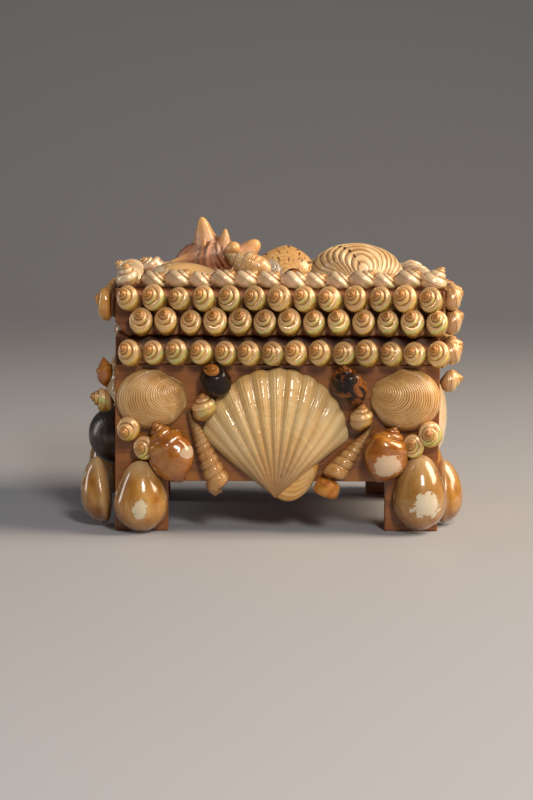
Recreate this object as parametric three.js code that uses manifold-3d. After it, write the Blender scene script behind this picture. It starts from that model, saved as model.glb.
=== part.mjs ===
// A small wooden casket on four feet, covered with varnished sea shells. Its lid lifts off.
// Millimetres, +Z up. The origin is on the ground under the middle of the box, and -Y is the front.

import * as THREE from 'three';
import { mergeVertices } from 'three/addons/utils/BufferGeometryUtils.js';
import Module from 'manifold-3d';

const wasm = await Module();
wasm.setup();

// The carcass
const WIDTH = 152;
const DEPTH = 120;
const BOARD = 5;
const FOOT_HEIGHT = 23.5;
const FOOT_WIDTH = 25;
const BODY_TOP = 91.5;
const GAP = 0.3; // between pieces that touch
const LID_BOTTOM = BODY_TOP + GAP;
const LID_TOP = 114;
const RIM_TOP = LID_TOP - BOARD - GAP;
const FLOOR_BOTTOM = FOOT_HEIGHT + 0.5;

// The small top shells that stand in rows, and the bed of glue and varnish under them
const TOP_RADIUS = 5.3;
const TOP_HEIGHT = 9;
const TOP_SIDES = 6;
const BED = 0.8;
const UNEVEN = 0.05; // how far the shells of a row differ in size

const object = new THREE.Group();

// ---------------------------------------------------------------- materials

function finish(color, roughness, metalness = 0) {
  return new THREE.MeshStandardMaterial({ color, roughness, metalness });
}

const WOOD = finish(0x96552a, 0.45);
const PEARL = finish(0xd8bd82, 0.3, 0.1);
const AMBER = finish(0xc98a3a, 0.25);
const CREAM = finish(0xd9bd8c, 0.35);
const TAN = finish(0xc79a5f, 0.4);
const PALE = finish(0xe2cfa8, 0.35);
const BLACK = finish(0x17110d, 0.15);
const BROWN = finish(0x4a2716, 0.15);
const DARK = finish(0x2a211c, 0.4);
const ORANGE = finish(0xb97234, 0.3);

// ---------------------------------------------------------------- solids and booleans

// The closed mesh as a solid, turned to face out, without the empty triangles at a lathe's poles
function solidOf(geometry) {
  const bare = geometry.clone();
  bare.deleteAttribute('normal');
  bare.deleteAttribute('uv');
  const merged = mergeVertices(bare, 1e-3);
  const place = merged.attributes.position;
  const corners = merged.index.array;
  const kept = [];
  const [a, b, c] = [new THREE.Vector3(), new THREE.Vector3(), new THREE.Vector3()];
  let volume = 0;
  for (let i = 0; i < corners.length; i += 3) {
    const [p, q, r] = [corners[i], corners[i + 1], corners[i + 2]];
    if (p === q || q === r || r === p) continue;
    kept.push([p, q, r]);
    a.fromBufferAttribute(place, p);
    b.fromBufferAttribute(place, q);
    c.fromBufferAttribute(place, r);
    volume += a.dot(b.cross(c));
  }
  const facing = volume > 0 ? kept : kept.map(([p, q, r]) => [p, r, q]);
  return new wasm.Manifold(new wasm.Mesh({
    numProp: 3,
    vertProperties: new Float32Array(place.array),
    triVerts: new Uint32Array(facing.flat()),
  }));
}

function geometryOf(solid) {
  const mesh = solid.getMesh();
  const geometry = new THREE.BufferGeometry();
  geometry.setAttribute('position', new THREE.BufferAttribute(mesh.vertProperties, 3));
  geometry.setIndex(new THREE.BufferAttribute(mesh.triVerts, 1));
  geometry.computeVertexNormals();
  return geometry;
}

function fused(geometries) {
  return geometryOf(geometries.map(solidOf).reduce((whole, next) => whole.add(next)));
}

// The geometry with room left in it for each neighbour that presses into it
function madeRoom(geometry, neighbours) {
  let solid = solidOf(geometry);
  for (const neighbour of neighbours) solid = solid.subtract(solidOf(grown(neighbour)));
  return geometryOf(solid);
}

function grown(geometry) {
  const larger = geometry.clone();
  larger.computeBoundingBox();
  const size = larger.boundingBox.getSize(new THREE.Vector3());
  const middle = larger.boundingBox.getCenter(new THREE.Vector3());
  const [sx, sy, sz] = size.toArray().map((length) => (length + 4 * GAP) / length);
  return larger
    .translate(-middle.x, -middle.y, -middle.z)
    .scale(sx, sy, sz)
    .translate(middle.x, middle.y, middle.z);
}

// Cut flat where it is glued down, a gap above the surface at z = 0
function gluedDown(geometry) {
  const slab = new THREE.BoxGeometry(400, 400, 100).translate(0, 0, GAP - 50);
  return geometryOf(solidOf(geometry).subtract(solidOf(slab)));
}

// ---------------------------------------------------------------- faces of the box

// A group whose x runs along a side of the box, y up it and z out of it
function sideGroup(turn, distance) {
  const around = new THREE.Group();
  around.rotation.z = turn;
  const upright = new THREE.Group();
  upright.rotation.x = Math.PI / 2;
  upright.position.y = -distance;
  around.add(upright);
  object.add(around);
  return upright;
}

const front = sideGroup(0, DEPTH / 2);
const right = sideGroup(Math.PI / 2, WIDTH / 2);
const back = sideGroup(Math.PI, DEPTH / 2);
const left = sideGroup(-Math.PI / 2, WIDTH / 2);
const top = new THREE.Group();
top.position.z = LID_TOP;
object.add(top);

function add(group, name, geometry, material, x = 0, y = 0, z = 0) {
  const mesh = new THREE.Mesh(geometry, material);
  mesh.name = name;
  mesh.position.set(x, y, z);
  group.add(mesh);
  return mesh;
}

// ---------------------------------------------------------------- boards

function extruded(outline) {
  const shape = new THREE.Shape(outline.map(([x, y]) => new THREE.Vector2(x, y)));
  return new THREE.ExtrudeGeometry(shape, { depth: BOARD, bevelEnabled: false });
}

// A wall of the body, cut away below to leave a foot at each end
function footedBoard(length, footWidth) {
  const end = length / 2;
  const inner = end - footWidth;
  return extruded([
    [-end, 0], [-inner, 0], [-inner, FOOT_HEIGHT], [inner, FOOT_HEIGHT],
    [inner, 0], [end, 0], [end, BODY_TOP], [-end, BODY_TOP],
  ]);
}

const SIDE_LENGTH = DEPTH - 2 * BOARD - 2 * GAP; // side boards stand between front and back
const SIDE_FOOT = FOOT_WIDTH - BOARD - GAP;
const INSIDE_WIDTH = WIDTH - 2 * BOARD - 2 * GAP;

for (const [side, name] of [[front, 'body_front_board'], [back, 'body_back_board']]) {
  add(side, name, footedBoard(WIDTH, FOOT_WIDTH), WOOD, 0, 0, -BOARD);
}
for (const [side, name] of [[left, 'body_left_board'], [right, 'body_right_board']]) {
  add(side, name, footedBoard(SIDE_LENGTH, SIDE_FOOT), WOOD, 0, 0, -BOARD);
}
const floorBoard = new THREE.BoxGeometry(INSIDE_WIDTH, SIDE_LENGTH, BOARD);
add(object, 'body_floor_board', floorBoard, WOOD, 0, 0, FLOOR_BOTTOM + BOARD / 2);

const lidBoard = new THREE.BoxGeometry(WIDTH, DEPTH, BOARD);
add(top, 'lid_top_board', lidBoard, WOOD, 0, 0, -BOARD / 2);

// The lid's lower left front corner is broken away: a plane cuts it this far along X, Y and Z
const CHIP = new THREE.Vector3(6.2, 34, 6.5);
const chipCorner = new THREE.Vector3(-WIDTH / 2, -DEPTH / 2, LID_BOTTOM);
const chipInward = new THREE.Vector3(1 / CHIP.x, 1 / CHIP.y, 1 / CHIP.z).normalize();
const CHIP_BLOCK = 60;
const chipped = new THREE.BoxGeometry(CHIP_BLOCK, CHIP_BLOCK * 2, CHIP_BLOCK);
chipped.translate(0, 0, -CHIP_BLOCK / 2);
const inwardTurn = new THREE.Quaternion();
inwardTurn.setFromUnitVectors(new THREE.Vector3(0, 0, 1), chipInward);
chipped.applyQuaternion(inwardTurn);
chipped.translate(chipCorner.x + CHIP.x, chipCorner.y, chipCorner.z);

function rimBoard(width, depth, x, y) {
  const board = new THREE.BoxGeometry(width, depth, RIM_TOP - LID_BOTTOM);
  return board.translate(x, y, (RIM_TOP + LID_BOTTOM) / 2);
}

function brokenCorner(geometry) {
  return geometryOf(solidOf(geometry).subtract(solidOf(chipped)));
}

const endY = (DEPTH - BOARD) / 2;
const endX = (WIDTH - BOARD) / 2;
add(object, 'lid_front_board', brokenCorner(rimBoard(WIDTH, BOARD, 0, -endY)), WOOD);
add(object, 'lid_left_board', brokenCorner(rimBoard(BOARD, SIDE_LENGTH, -endX, 0)), WOOD);
add(object, 'lid_back_board', rimBoard(WIDTH, BOARD, 0, endY), WOOD);
add(object, 'lid_right_board', rimBoard(BOARD, SIDE_LENGTH, endX, 0), WOOD);

// ---------------------------------------------------------------- rows of small top shells

function bent(geometry, move) {
  const place = geometry.attributes.position;
  const point = new THREE.Vector3();
  for (let i = 0; i < place.count; i += 1) {
    point.fromBufferAttribute(place, i);
    move(point);
    place.setXYZ(i, point.x, point.y, point.z);
  }
  return geometry;
}

// A solid turned about the z axis from pairs of radius and height
function turned(profile, sides) {
  const points = profile.map(([radius, height]) => new THREE.Vector2(radius, height));
  return new THREE.LatheGeometry(points, sides).rotateX(Math.PI / 2);
}

// No two shells of a row are the same size
function uneven(index) {
  return 1 + UNEVEN * Math.sin(2.4 * index);
}

// A top shell standing on its base, its apex leaning by (leanX, leanY)
function standingTop(radius, height, leanX, leanY, sides = TOP_SIDES) {
  const cone = turned([[0, 0], [radius, 0], [0.68 * radius, 0.56 * height], [0, height]], sides);
  return bent(cone, (point) => {
    point.x += leanX * (point.z / height);
    point.y += leanY * (point.z / height);
  });
}

// The same shell lying on its side in the xz plane, its apex raised by `tilt` from +x
function lyingTop(radius, length, tilt) {
  const profile = [[0, 0], [0.8 * radius, 0], [radius, 0.3 * length], [0, length]];
  return turned(profile, TOP_SIDES).rotateY(Math.PI / 2 - tilt);
}

function bed(x0, x1, y0, y1) {
  const strip = new THREE.BoxGeometry(x1 - x0, y1 - y0, BED);
  return strip.translate((x0 + x1) / 2, (y0 + y1) / 2, GAP + BED / 2);
}

// `count` shells from x0 to x1 at height y, half sunk in the bed
function standingRow({ count, x0, x1, y, leanX, leanY, radius = TOP_RADIUS, height = TOP_HEIGHT }) {
  return Array.from({ length: count }, (_, index) => {
    const size = uneven(index + count);
    const shell = standingTop(radius * size, height * size, leanX, leanY);
    const x = x0 + ((x1 - x0) * index) / (count - 1);
    return shell.translate(x, y, GAP + BED / 2);
  });
}

const UPPER_Y = 109;
const LOWER_Y = 98;
const BODY_Y = 83.2;
const FRONT_UPPER = { count: 13, x0: -70, x1: 70, y: UPPER_Y, leanX: -2, leanY: 1.6 };
const FRONT_LOWER = { count: 13, x0: -63.8, x1: 72, y: LOWER_Y, leanX: -0.6, leanY: 2.6 };
const FRONT_BODY = { count: 14, x0: -70, x1: 73, y: BODY_Y, leanX: -1.2, leanY: 2 };
const SIDE_UPPER = { count: 10, x0: -54, x1: 52, y: UPPER_Y, leanX: 1.2, leanY: 1.6 };
const SIDE_LOWER = { count: 10, x0: -53, x1: 54, y: LOWER_Y, leanX: 0.6, leanY: 1.6 };
const SIDE_BODY = { count: 10, x0: -54, x1: 54, y: BODY_Y, leanX: 0.8, leanY: 1.6 };

function lidRows(upper, lower, bedX0, bedX1) {
  const strip = bed(bedX0, bedX1, LID_BOTTOM + 0.7, LID_TOP - 0.3);
  return fused([strip, ...standingRow(upper), ...standingRow(lower)]);
}

function bodyRow(row, bedX0, bedX1) {
  return fused([bed(bedX0, bedX1, BODY_Y - 6, BODY_Y + 6), ...standingRow(row)]);
}

const END_X = WIDTH / 2 - 0.5;
const END_Y = DEPTH / 2 - 0.5;
const chippedX = END_X - CHIP.x - 0.5;
add(front, 'front_lid_rows', lidRows(FRONT_UPPER, FRONT_LOWER, -chippedX, END_X), PEARL);
add(back, 'back_lid_rows', lidRows(FRONT_UPPER, FRONT_LOWER, -END_X, END_X), PEARL);
add(right, 'right_lid_rows', lidRows(SIDE_UPPER, SIDE_LOWER, -END_Y, END_Y), PEARL);
const longBodyRow = bodyRow(FRONT_BODY, -END_X, END_X);
add(back, 'back_body_row', longBodyRow, PEARL);
add(right, 'right_body_row', bodyRow(SIDE_BODY, -END_Y, END_Y), PEARL);

// Larger smooth cones along the lid's left side
const LEFT_CONES = {
  count: 7, x0: -49, x1: 52, y: 106.2, leanX: -0.5, leanY: 1.6, radius: 7, height: 9.4,
};
const leftBed = bed(-END_Y, END_Y, 100, LID_TOP - 0.3);
add(left, 'left_lid_row', fused([leftBed, ...standingRow(LEFT_CONES)]), AMBER);

// The row that lies along each edge of the lid's top, spires leaning up and to the right
const EDGE_IN = 5.5; // from the edge to the middle of the row
const EDGE_TILT = 0.62;
const EDGE_RADIUS = 4.6;
const EDGE_LENGTH = 10;

function edgeRow(count, x0, x1) {
  const strip = bed(x0 - 3.5, x1 + 3.5, EDGE_IN - 4, EDGE_IN + 4);
  const shells = Array.from({ length: count }, (_, index) => {
    const size = uneven(index);
    const shell = lyingTop(EDGE_RADIUS * size, EDGE_LENGTH * size, EDGE_TILT);
    const x = x0 + ((x1 - x0) * index) / (count - 1);
    return shell.translate(x - 2.6, EDGE_IN, GAP + 3.1);
  });
  return { strip, shells };
}

function edgeGroup(turn, distance) {
  const edge = new THREE.Group();
  edge.rotation.z = turn;
  const inset = new THREE.Group();
  inset.position.y = -distance;
  edge.add(inset);
  top.add(edge);
  return inset;
}

const longEdge = edgeRow(12, -60.4, 57);
const firstCorner = standingTop(5.7, 11.2, 0, -0.6, 8).translate(-70.2, EDGE_IN, GAP + BED / 2);
const lastCorner = lyingTop(5.2, 10.5, 2.5).translate(71, EDGE_IN, GAP + 3.1);
const longBed = bed(-END_X, END_X, EDGE_IN - 4, EDGE_IN + 4);
const longRow = gluedDown(fused([longBed, firstCorner, ...longEdge.shells, lastCorner]));
const shortEdge = edgeRow(8, -37.8, 37.8);
const shortRow = gluedDown(fused([shortEdge.strip, ...shortEdge.shells]));
add(edgeGroup(0, DEPTH / 2), 'front_edge_row', longRow, PEARL);
add(edgeGroup(Math.PI, DEPTH / 2), 'back_edge_row', longRow, PEARL);
add(edgeGroup(Math.PI / 2, WIDTH / 2), 'right_edge_row', shortRow, PEARL);
add(edgeGroup(-Math.PI / 2, WIDTH / 2), 'left_edge_row', shortRow, PEARL);

// ---------------------------------------------------------------- shell forms

const RIM_LEVEL = 0.01; // what is no higher than this is the flat base

// A domed shell on its flat rim. `edge` gives the rim at a turn from 0 to 1, measured from the
// highest point, `profile` pairs of scale and height from the rim up, `relief` lifts the surface
function dome(edge, profile, sides, relief = () => 0) {
  const points = [[0, 0], ...profile];
  const rim = new THREE.Vector2();
  return bent(turned(points, sides), (point) => {
    const scale = Math.hypot(point.x, point.y);
    const turn = (Math.atan2(point.x, point.y) / (2 * Math.PI) + 1) % 1;
    rim.copy(edge(turn)).multiplyScalar(scale);
    const lift = point.z > RIM_LEVEL ? relief(turn, scale) : 0;
    point.set(rim.x, rim.y, point.z + lift);
  }).translate(0, 0, GAP);
}

function raised(profile, height) {
  return profile.map(([scale, part]) => [scale, part * height]);
}

// An oval whose upper end (+y) is the narrower by `taper`, seen from its highest point
function oval(width, height, taper = 0, highY = 0) {
  return (turn) => {
    const angle = 2 * Math.PI * turn;
    const half = (width / 2) * (1 - taper * Math.cos(angle));
    return new THREE.Vector2(half * Math.sin(angle), (height / 2) * Math.cos(angle) - highY);
  };
}

const FULL = [[0.84, 0], [1, 0.33], [0.72, 0.8], [0, 1]]; // rolls under at its base
const LOW = [[1, 0], [0.88, 0.45], [0.55, 0.86], [0, 1]]; // meets its base at the rim

// Highest towards its wide lower end
function cowrie(width, height, rise) {
  const highY = -0.1 * height;
  const edge = oval(width, height, 0.22, highY);
  return dome(edge, raised(FULL, rise), 12).translate(0, highY, 0);
}

function roundShell(width, height, rise, sides = 10) {
  return dome(oval(width, height), raised(FULL, rise), sides);
}

// A clam's valve: an oval with a beak at `beak` radians from +y and a hollow below the beak
function clam(width, height, beak, rise, ridges = 0) {
  const ring = oval(width, height);
  const high = new THREE.Vector2(Math.sin(beak) * width, Math.cos(beak) * height)
    .multiplyScalar(0.17);
  const edge = (turn) => {
    const point = ring(turn);
    const off = Math.atan2(Math.sin(2 * Math.PI * turn - beak), Math.cos(2 * Math.PI * turn - beak));
    const beaked = 0.07 * Math.exp(-((off / 0.22) ** 2));
    const hollow = 0.09 * Math.exp(-(((Math.abs(off) - 0.62) / 0.3) ** 2));
    return point.multiplyScalar(1 + beaked - hollow).sub(high);
  };
  const steps = Array.from({ length: ridges }, (_, index) => {
    const scale = 1 - (index + 1) / (ridges + 1);
    const crest = index % 2 ? 0.06 : -0.02;
    return [scale, Math.sqrt(1 - scale * scale) + crest];
  });
  const profile = ridges ? [[1, 0], ...steps, [0, 1]] : LOW;
  return dome(edge, raised(profile, rise), 16).translate(high.x, high.y, 0);
}

// A scallop's valve: a fan of ribs from a beak at the origin, cut from a circle
function scallop(halfWidth, reach, rise, ribs) {
  const spread = 0.9; // half angle of the fan
  const toCentre = reach - halfWidth;
  const pole = 0.06 * reach;
  const behind = 2; // columns that close the fan behind the beak
  const sides = 2 * ribs + behind;
  const edge = (turn) => {
    const column = Math.round(turn * sides);
    const onFan = Math.min(column, sides - column) <= ribs;
    if (!onFan) return new THREE.Vector2(0, -pole);
    const across = column <= ribs ? column : column - sides;
    const angle = (spread * across) / ribs;
    const chord = toCentre * Math.sin(angle);
    const far = toCentre * Math.cos(angle) + Math.sqrt(halfWidth * halfWidth - chord * chord);
    const wave = across % 2 ? 0.985 : 1;
    return new THREE.Vector2(far * wave * Math.sin(angle), far * wave * Math.cos(angle) - pole);
  };
  const relief = (turn, scale) => (Math.round(turn * sides) % 2 ? -1.4 : 0.4) * scale;
  const profile = raised([[1, 0], [0.97, 0.2], [0.74, 0.78], [0.42, 1], [0, 0.45]], rise);
  return dome(edge, profile, sides, relief).translate(0, pole, 0);
}

// A shell of whorls about +y, from pairs of radius and distance, lying on the surface at z = 0
function spindle(profile, radius, length, sides = 8) {
  const sized = profile.map(([part, along]) => [part * radius, along * length]);
  return turned(sized, sides).rotateX(-Math.PI / 2);
}

// Turns a shell that lies along +y toward the direction (x, y) and moves its base to (x0, y0)
function laidFrom(geometry, [x0, y0], [x1, y1], z) {
  return geometry.rotateZ(-Math.atan2(x1 - x0, y1 - y0)).translate(x0, y0, z);
}

function distance([x0, y0], [x1, y1]) {
  return Math.hypot(x1 - x0, y1 - y0);
}

const WHELK = [[0, 0], [0.45, 0.02], [0.92, 0.24], [1, 0.4], [0.74, 0.6], [0.42, 0.78], [0, 1]];
const SPIRE = [[0, 0], [0.75, 0], [1, 0.28], [0.72, 0.5], [0.5, 0.7], [0, 1]];

function turretProfile(whorls) {
  const profile = [[0, 0], [0.8, 0]];
  for (let whorl = 0; whorl < whorls; whorl += 1) {
    const size = 1 - (0.86 * whorl) / whorls;
    profile.push([size, (whorl + 0.5) / whorls], [0.84 * size, (whorl + 1) / whorls]);
  }
  profile.pop();
  profile.push([0, 1]);
  return profile;
}

function turret(base, apex, radius, whorls) {
  const shell = spindle(turretProfile(whorls), radius, distance(base, apex), 7);
  return gluedDown(laidFrom(shell, base, apex, 0.9 * radius));
}

function whelk(base, apex, radius) {
  const shell = spindle(WHELK, radius, distance(base, apex));
  return gluedDown(laidFrom(shell, base, apex, 0.45 * radius));
}

function lyingSpire(base, apex, radius) {
  const shell = spindle(SPIRE, radius, distance(base, apex));
  return gluedDown(laidFrom(shell, base, apex, 0.75 * radius));
}

// ---------------------------------------------------------------- the front

const COWRIE_RISE = 16.4;
const frontLeftCowrie = cowrie(24.4, 33, COWRIE_RISE).translate(-63.9, 17.1, 0);
const frontRightCowrie = cowrie(24.8, 35.4, COWRIE_RISE).translate(66.9, 19.2, 0);
const frontLeftNerite = roundShell(15, 15.4, 12).translate(-29.4, 71.8, 0);
const frontRightNerite = roundShell(16.4, 17.4, 13).translate(34, 69, 0);
const frontLeftTop = lyingSpire([-34.6, 52.6], [-34.4, 65.4], 5.8);
const frontRightTop = lyingSpire([39.4, 47.6], [38.8, 60.2], 5.8);
const frontLeftTurret = turret([-26.2, 20.6], [-42.2, 56.4], 5.6, 7);
const frontRightTurret = turret([24.2, 20.2], [45.2, 50.2], 6.2, 6);
const frontLeftWhelk = whelk([-42, 23.4], [-58.4, 51.2], 10.4);
const frontRightWhelk = whelk([46, 22.9], [56.2, 50], 11.2);
const leftTopPair = [
  standingTop(5.8, 9.4, -1.6, -1.2, 8).translate(-70, 47.8, GAP),
  standingTop(5.3, 9, -1.4, -0.4, 8).translate(-62.2, 40.4, GAP),
];
const rightTopPair = [
  standingTop(6, 9.4, 0.2, -0.6, 8).translate(70.2, 46.4, GAP),
  standingTop(5.4, 8.8, 0.8, 0.6, 8).translate(63.4, 39, GAP),
];
const frontScallop = scallop(34.2, 61.2, 11.6, 13).translate(-1, 15.9, 0);
const frontRearValve = roundShell(27, 28, 3.4, 14).translate(5.2, 27.8, 0);
const frontLeftClam = clam(32.4, 29.2, 1.13, 10.5).translate(-59.4, 62.2, 0);
const frontRightClam = clam(32.4, 30, -1.15, 10.5).translate(60.4, 62.4, 0);

add(front, 'front_body_row', madeRoom(longBodyRow, [frontLeftNerite, frontRightNerite]), PEARL);
add(front, 'front_left_cowrie', frontLeftCowrie, AMBER);
add(front, 'front_right_cowrie', frontRightCowrie, AMBER);
add(front, 'front_left_nerite', frontLeftNerite, BLACK);
add(front, 'front_right_nerite', madeRoom(frontRightNerite, [frontRightTop]), BROWN);
add(front, 'front_left_top', madeRoom(frontLeftTop, [frontLeftNerite]), PEARL);
add(front, 'front_right_top', frontRightTop, PEARL);
add(front, 'front_left_turret', madeRoom(frontLeftTurret, [frontLeftTop]), TAN);
add(front, 'front_right_turret', madeRoom(frontRightTurret, [frontRightTop]), TAN);
add(front, 'front_left_whelk', madeRoom(frontLeftWhelk, [frontLeftTurret, frontLeftCowrie]), ORANGE);
add(front, 'front_right_whelk', madeRoom(frontRightWhelk, [frontRightTurret, frontRightCowrie]), ORANGE);
const leftPairNeighbours = [frontLeftWhelk, frontLeftCowrie];
const rightPairNeighbours = [frontRightWhelk, frontRightCowrie];
add(front, 'front_left_top_pair', madeRoom(fused(leftTopPair), leftPairNeighbours), PEARL);
add(front, 'front_right_top_pair', madeRoom(fused(rightTopPair), rightPairNeighbours), PEARL);
const scallopNeighbours = [
  frontLeftNerite, frontRightNerite, frontLeftTop, frontRightTop, frontLeftTurret, frontRightTurret,
];
add(front, 'front_scallop', madeRoom(frontScallop, scallopNeighbours), CREAM);
const rearValveNeighbours = [frontScallop, frontRightTurret];
add(front, 'front_rear_valve', madeRoom(frontRearValve, rearValveNeighbours), PALE);
const leftClamNeighbours = [frontLeftWhelk, frontLeftTurret, ...leftTopPair, longBodyRow];
const rightClamNeighbours = [
  frontRightWhelk, frontRightTurret, ...rightTopPair, frontRightNerite, longBodyRow,
];
add(front, 'front_left_clam', madeRoom(frontLeftClam, leftClamNeighbours), TAN);
add(front, 'front_right_clam', madeRoom(frontRightClam, rightClamNeighbours), TAN);

// ---------------------------------------------------------------- the other sides

const FOOT_MIDDLE = 44;
const sideCowrie = (rise) => cowrie(24, 31.6, rise).translate(0, 18, 0);
const leftFrontCowrie = sideCowrie(COWRIE_RISE).translate(FOOT_MIDDLE, 0, 0);
add(left, 'left_front_cowrie', leftFrontCowrie, AMBER);
add(left, 'left_back_cowrie', sideCowrie(COWRIE_RISE), AMBER, -FOOT_MIDDLE);
add(right, 'right_front_cowrie', sideCowrie(13.9), AMBER, -FOOT_MIDDLE + 3);
add(right, 'right_back_cowrie', sideCowrie(13.9), AMBER, FOOT_MIDDLE - 3);

const leftMussel = clam(30, 28, 2.6, 13.4).translate(30, 49 - 7, 0);
const leftTop = standingTop(5.8, 9, 0, 0.4, 8).translate(50, 60.4, GAP);
const leftWhelk = whelk([50, 66.6], [51.4, 81], 5.6);
const leftValve = scallop(26, 44, 7.5, 9).translate(-10, 32, 0);
add(left, 'left_mussel', madeRoom(leftMussel, [leftTop, leftFrontCowrie]), DARK);
add(left, 'left_top', leftTop, PEARL);
add(left, 'left_whelk', leftWhelk, ORANGE);
add(left, 'left_valve', madeRoom(leftValve, [leftMussel, leftWhelk]), CREAM);

const rightValve = clam(50, 44, 3, 9.8).translate(0, 48.5, 0);
const rightTop = standingTop(5.7, 8.8, 0, 1, 8).translate(0, 70.4, GAP);
add(right, 'right_valve', rightValve, PALE);
add(right, 'right_front_top', rightTop, PEARL, -51);
add(right, 'right_back_top', rightTop, PEARL, 51);

const BACK_FOOT = 63;
const backCowrie = cowrie(24.4, 33, COWRIE_RISE).translate(0, 17.6, 0);
add(back, 'back_left_cowrie', backCowrie, AMBER, -BACK_FOOT);
add(back, 'back_right_cowrie', backCowrie, AMBER, BACK_FOOT);
add(back, 'back_scallop', scallop(31, 51, 10.5, 11).translate(0, 25, 0), CREAM);
add(back, 'back_left_clam', clam(32, 29, 1.1, 10).translate(-56, 60, 0), TAN);
add(back, 'back_right_clam', clam(32, 29, -1.1, 10).translate(56, 60, 0), TAN);

// ---------------------------------------------------------------- on top of the lid

// A knobbed conch lying with its spire to the front right. Its body is turned about the line
// from CONCH_END to CONCH_TIP, and each knob is a blunt cone from inside the body to its tip
const CONCH_END = new THREE.Vector3(-49, 15, 5.5);
const CONCH_TIP = new THREE.Vector3(-13, 1, 14);
const CONCH = [[0, 0], [3.4, 0.02], [8.6, 0.22], [11.2, 0.48], [9.6, 0.66], [5.6, 0.84], [0, 1]];
const KNOBS = [
  { root: [-33, 9, 12], tip: [-36.6, 9, 30.9], radius: 5.4 },
  { root: [-36, 10, 10], tip: [-47.2, 12, 17.2], radius: 6.2 },
  { root: [-25, 6, 13], tip: [-24.4, 6, 24.9], radius: 3.4 },
  { root: [-22, 4, 13], tip: [-19.6, -7.5, 17.4], radius: 4 },
  { root: [-20, 6, 13], tip: [-7.6, 8, 19.6], radius: 4.4 },
];
const UP = new THREE.Vector3(0, 0, 1);

// A solid turned about the line from one point to another, from pairs of radius and part of it
function spun(profile, from, to, sides) {
  const along = new THREE.Vector3().subVectors(to, from);
  const length = along.length();
  const turn = new THREE.Quaternion().setFromUnitVectors(UP, along.divideScalar(length));
  return turned(profile.map(([radius, part]) => [radius, part * length]), sides)
    .applyQuaternion(turn)
    .translate(from.x, from.y, from.z);
}

function knob({ root, tip, radius }) {
  const profile = [[0, 0], [radius, 0], [0.62 * radius, 0.72], [0.5 * radius, 0.94], [0, 1]];
  return spun(profile, new THREE.Vector3(...root), new THREE.Vector3(...tip), 6);
}

const lidConch = gluedDown(fused([spun(CONCH, CONCH_END, CONCH_TIP, 8), ...KNOBS.map(knob)]));
add(top, 'lid_conch', lidConch, ORANGE);

const lidCowrie = cowrie(23, 33.6, 10.6).rotateZ(-Math.PI / 2).translate(-43.7, -27, 0);
add(top, 'lid_cowrie', lidCowrie, AMBER);

const lyingWhelk = spindle(SPIRE, 6, 25).rotateX(0.45).rotateZ(1.35);
const lidWhelk = gluedDown(lyingWhelk.translate(-3.4, -39, 4.2));
add(top, 'lid_whelk', lidWhelk, TAN);
const lidNerite = roundShell(13, 12.4, 12).translate(-3.4, -26.2, 0);
add(top, 'lid_nerite', madeRoom(lidNerite, [lidWhelk]), PALE);
add(top, 'lid_black_shell', roundShell(9.2, 9, 7.8, 8).translate(8, -27, 0), BLACK);

// Two valves propped on their front edges, so that their domes face the front
function propped(geometry, lean) {
  return geometry.rotateX(lean);
}

const spotted = propped(clam(27, 24, Math.PI, 6), 0.72).translate(5.2, -4, 8);
add(top, 'lid_spotted_valve', gluedDown(spotted), TAN);
const striped = propped(clam(47.6, 38, Math.PI, 14.6, 6), 0.16).translate(40.4, 2, 3.4);
add(top, 'lid_striped_clam', gluedDown(striped), CREAM);

export default object;
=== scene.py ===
from math import atan2, cos, exp, hypot, pi, radians, sin, sqrt
from random import Random

import bmesh
import bpy
from mathutils import Matrix, Vector, noise


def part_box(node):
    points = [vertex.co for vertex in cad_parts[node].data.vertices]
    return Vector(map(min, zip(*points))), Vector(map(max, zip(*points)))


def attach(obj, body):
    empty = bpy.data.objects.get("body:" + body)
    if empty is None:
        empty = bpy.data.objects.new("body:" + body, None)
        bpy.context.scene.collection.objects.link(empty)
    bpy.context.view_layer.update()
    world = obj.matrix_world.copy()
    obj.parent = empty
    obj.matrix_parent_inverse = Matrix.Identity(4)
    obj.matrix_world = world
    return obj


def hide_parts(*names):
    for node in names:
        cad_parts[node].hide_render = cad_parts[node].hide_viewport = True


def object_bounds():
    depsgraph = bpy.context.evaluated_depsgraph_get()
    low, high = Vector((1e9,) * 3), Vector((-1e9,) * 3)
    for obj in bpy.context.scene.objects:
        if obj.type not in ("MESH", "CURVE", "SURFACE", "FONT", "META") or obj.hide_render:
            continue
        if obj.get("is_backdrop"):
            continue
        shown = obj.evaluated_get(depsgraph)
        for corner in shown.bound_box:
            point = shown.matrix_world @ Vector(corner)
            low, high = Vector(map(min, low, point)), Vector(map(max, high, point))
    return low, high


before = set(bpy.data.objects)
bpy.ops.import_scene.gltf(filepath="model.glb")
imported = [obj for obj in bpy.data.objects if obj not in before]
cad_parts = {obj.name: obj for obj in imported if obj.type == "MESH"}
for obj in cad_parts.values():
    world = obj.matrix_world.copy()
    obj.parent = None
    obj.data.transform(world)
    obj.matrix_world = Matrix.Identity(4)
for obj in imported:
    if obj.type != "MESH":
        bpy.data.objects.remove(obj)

cad_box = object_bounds()

# ======================================== Camera
# A long lens a little above the box and to the left of its middle, turned back towards it.

lens = bpy.data.cameras.new("camera")
lens.sensor_width = 36
lens.lens = 101.7
camera = bpy.data.objects.new("camera", lens)
bpy.context.scene.collection.objects.link(camera)
bpy.context.scene.camera = camera
stands_at = (-0.042, -1.111, 0.1818)
turned_right, tipped_down, rolled = radians(2), radians(6.5), radians(0.48)
camera.matrix_world = (
    Matrix.Translation(stands_at)
    @ Matrix.Rotation(-turned_right, 4, "Z")
    @ Matrix.Rotation(pi / 2 - tipped_down, 4, "X")
    @ Matrix.Rotation(rolled, 4, "Z")
)

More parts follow.
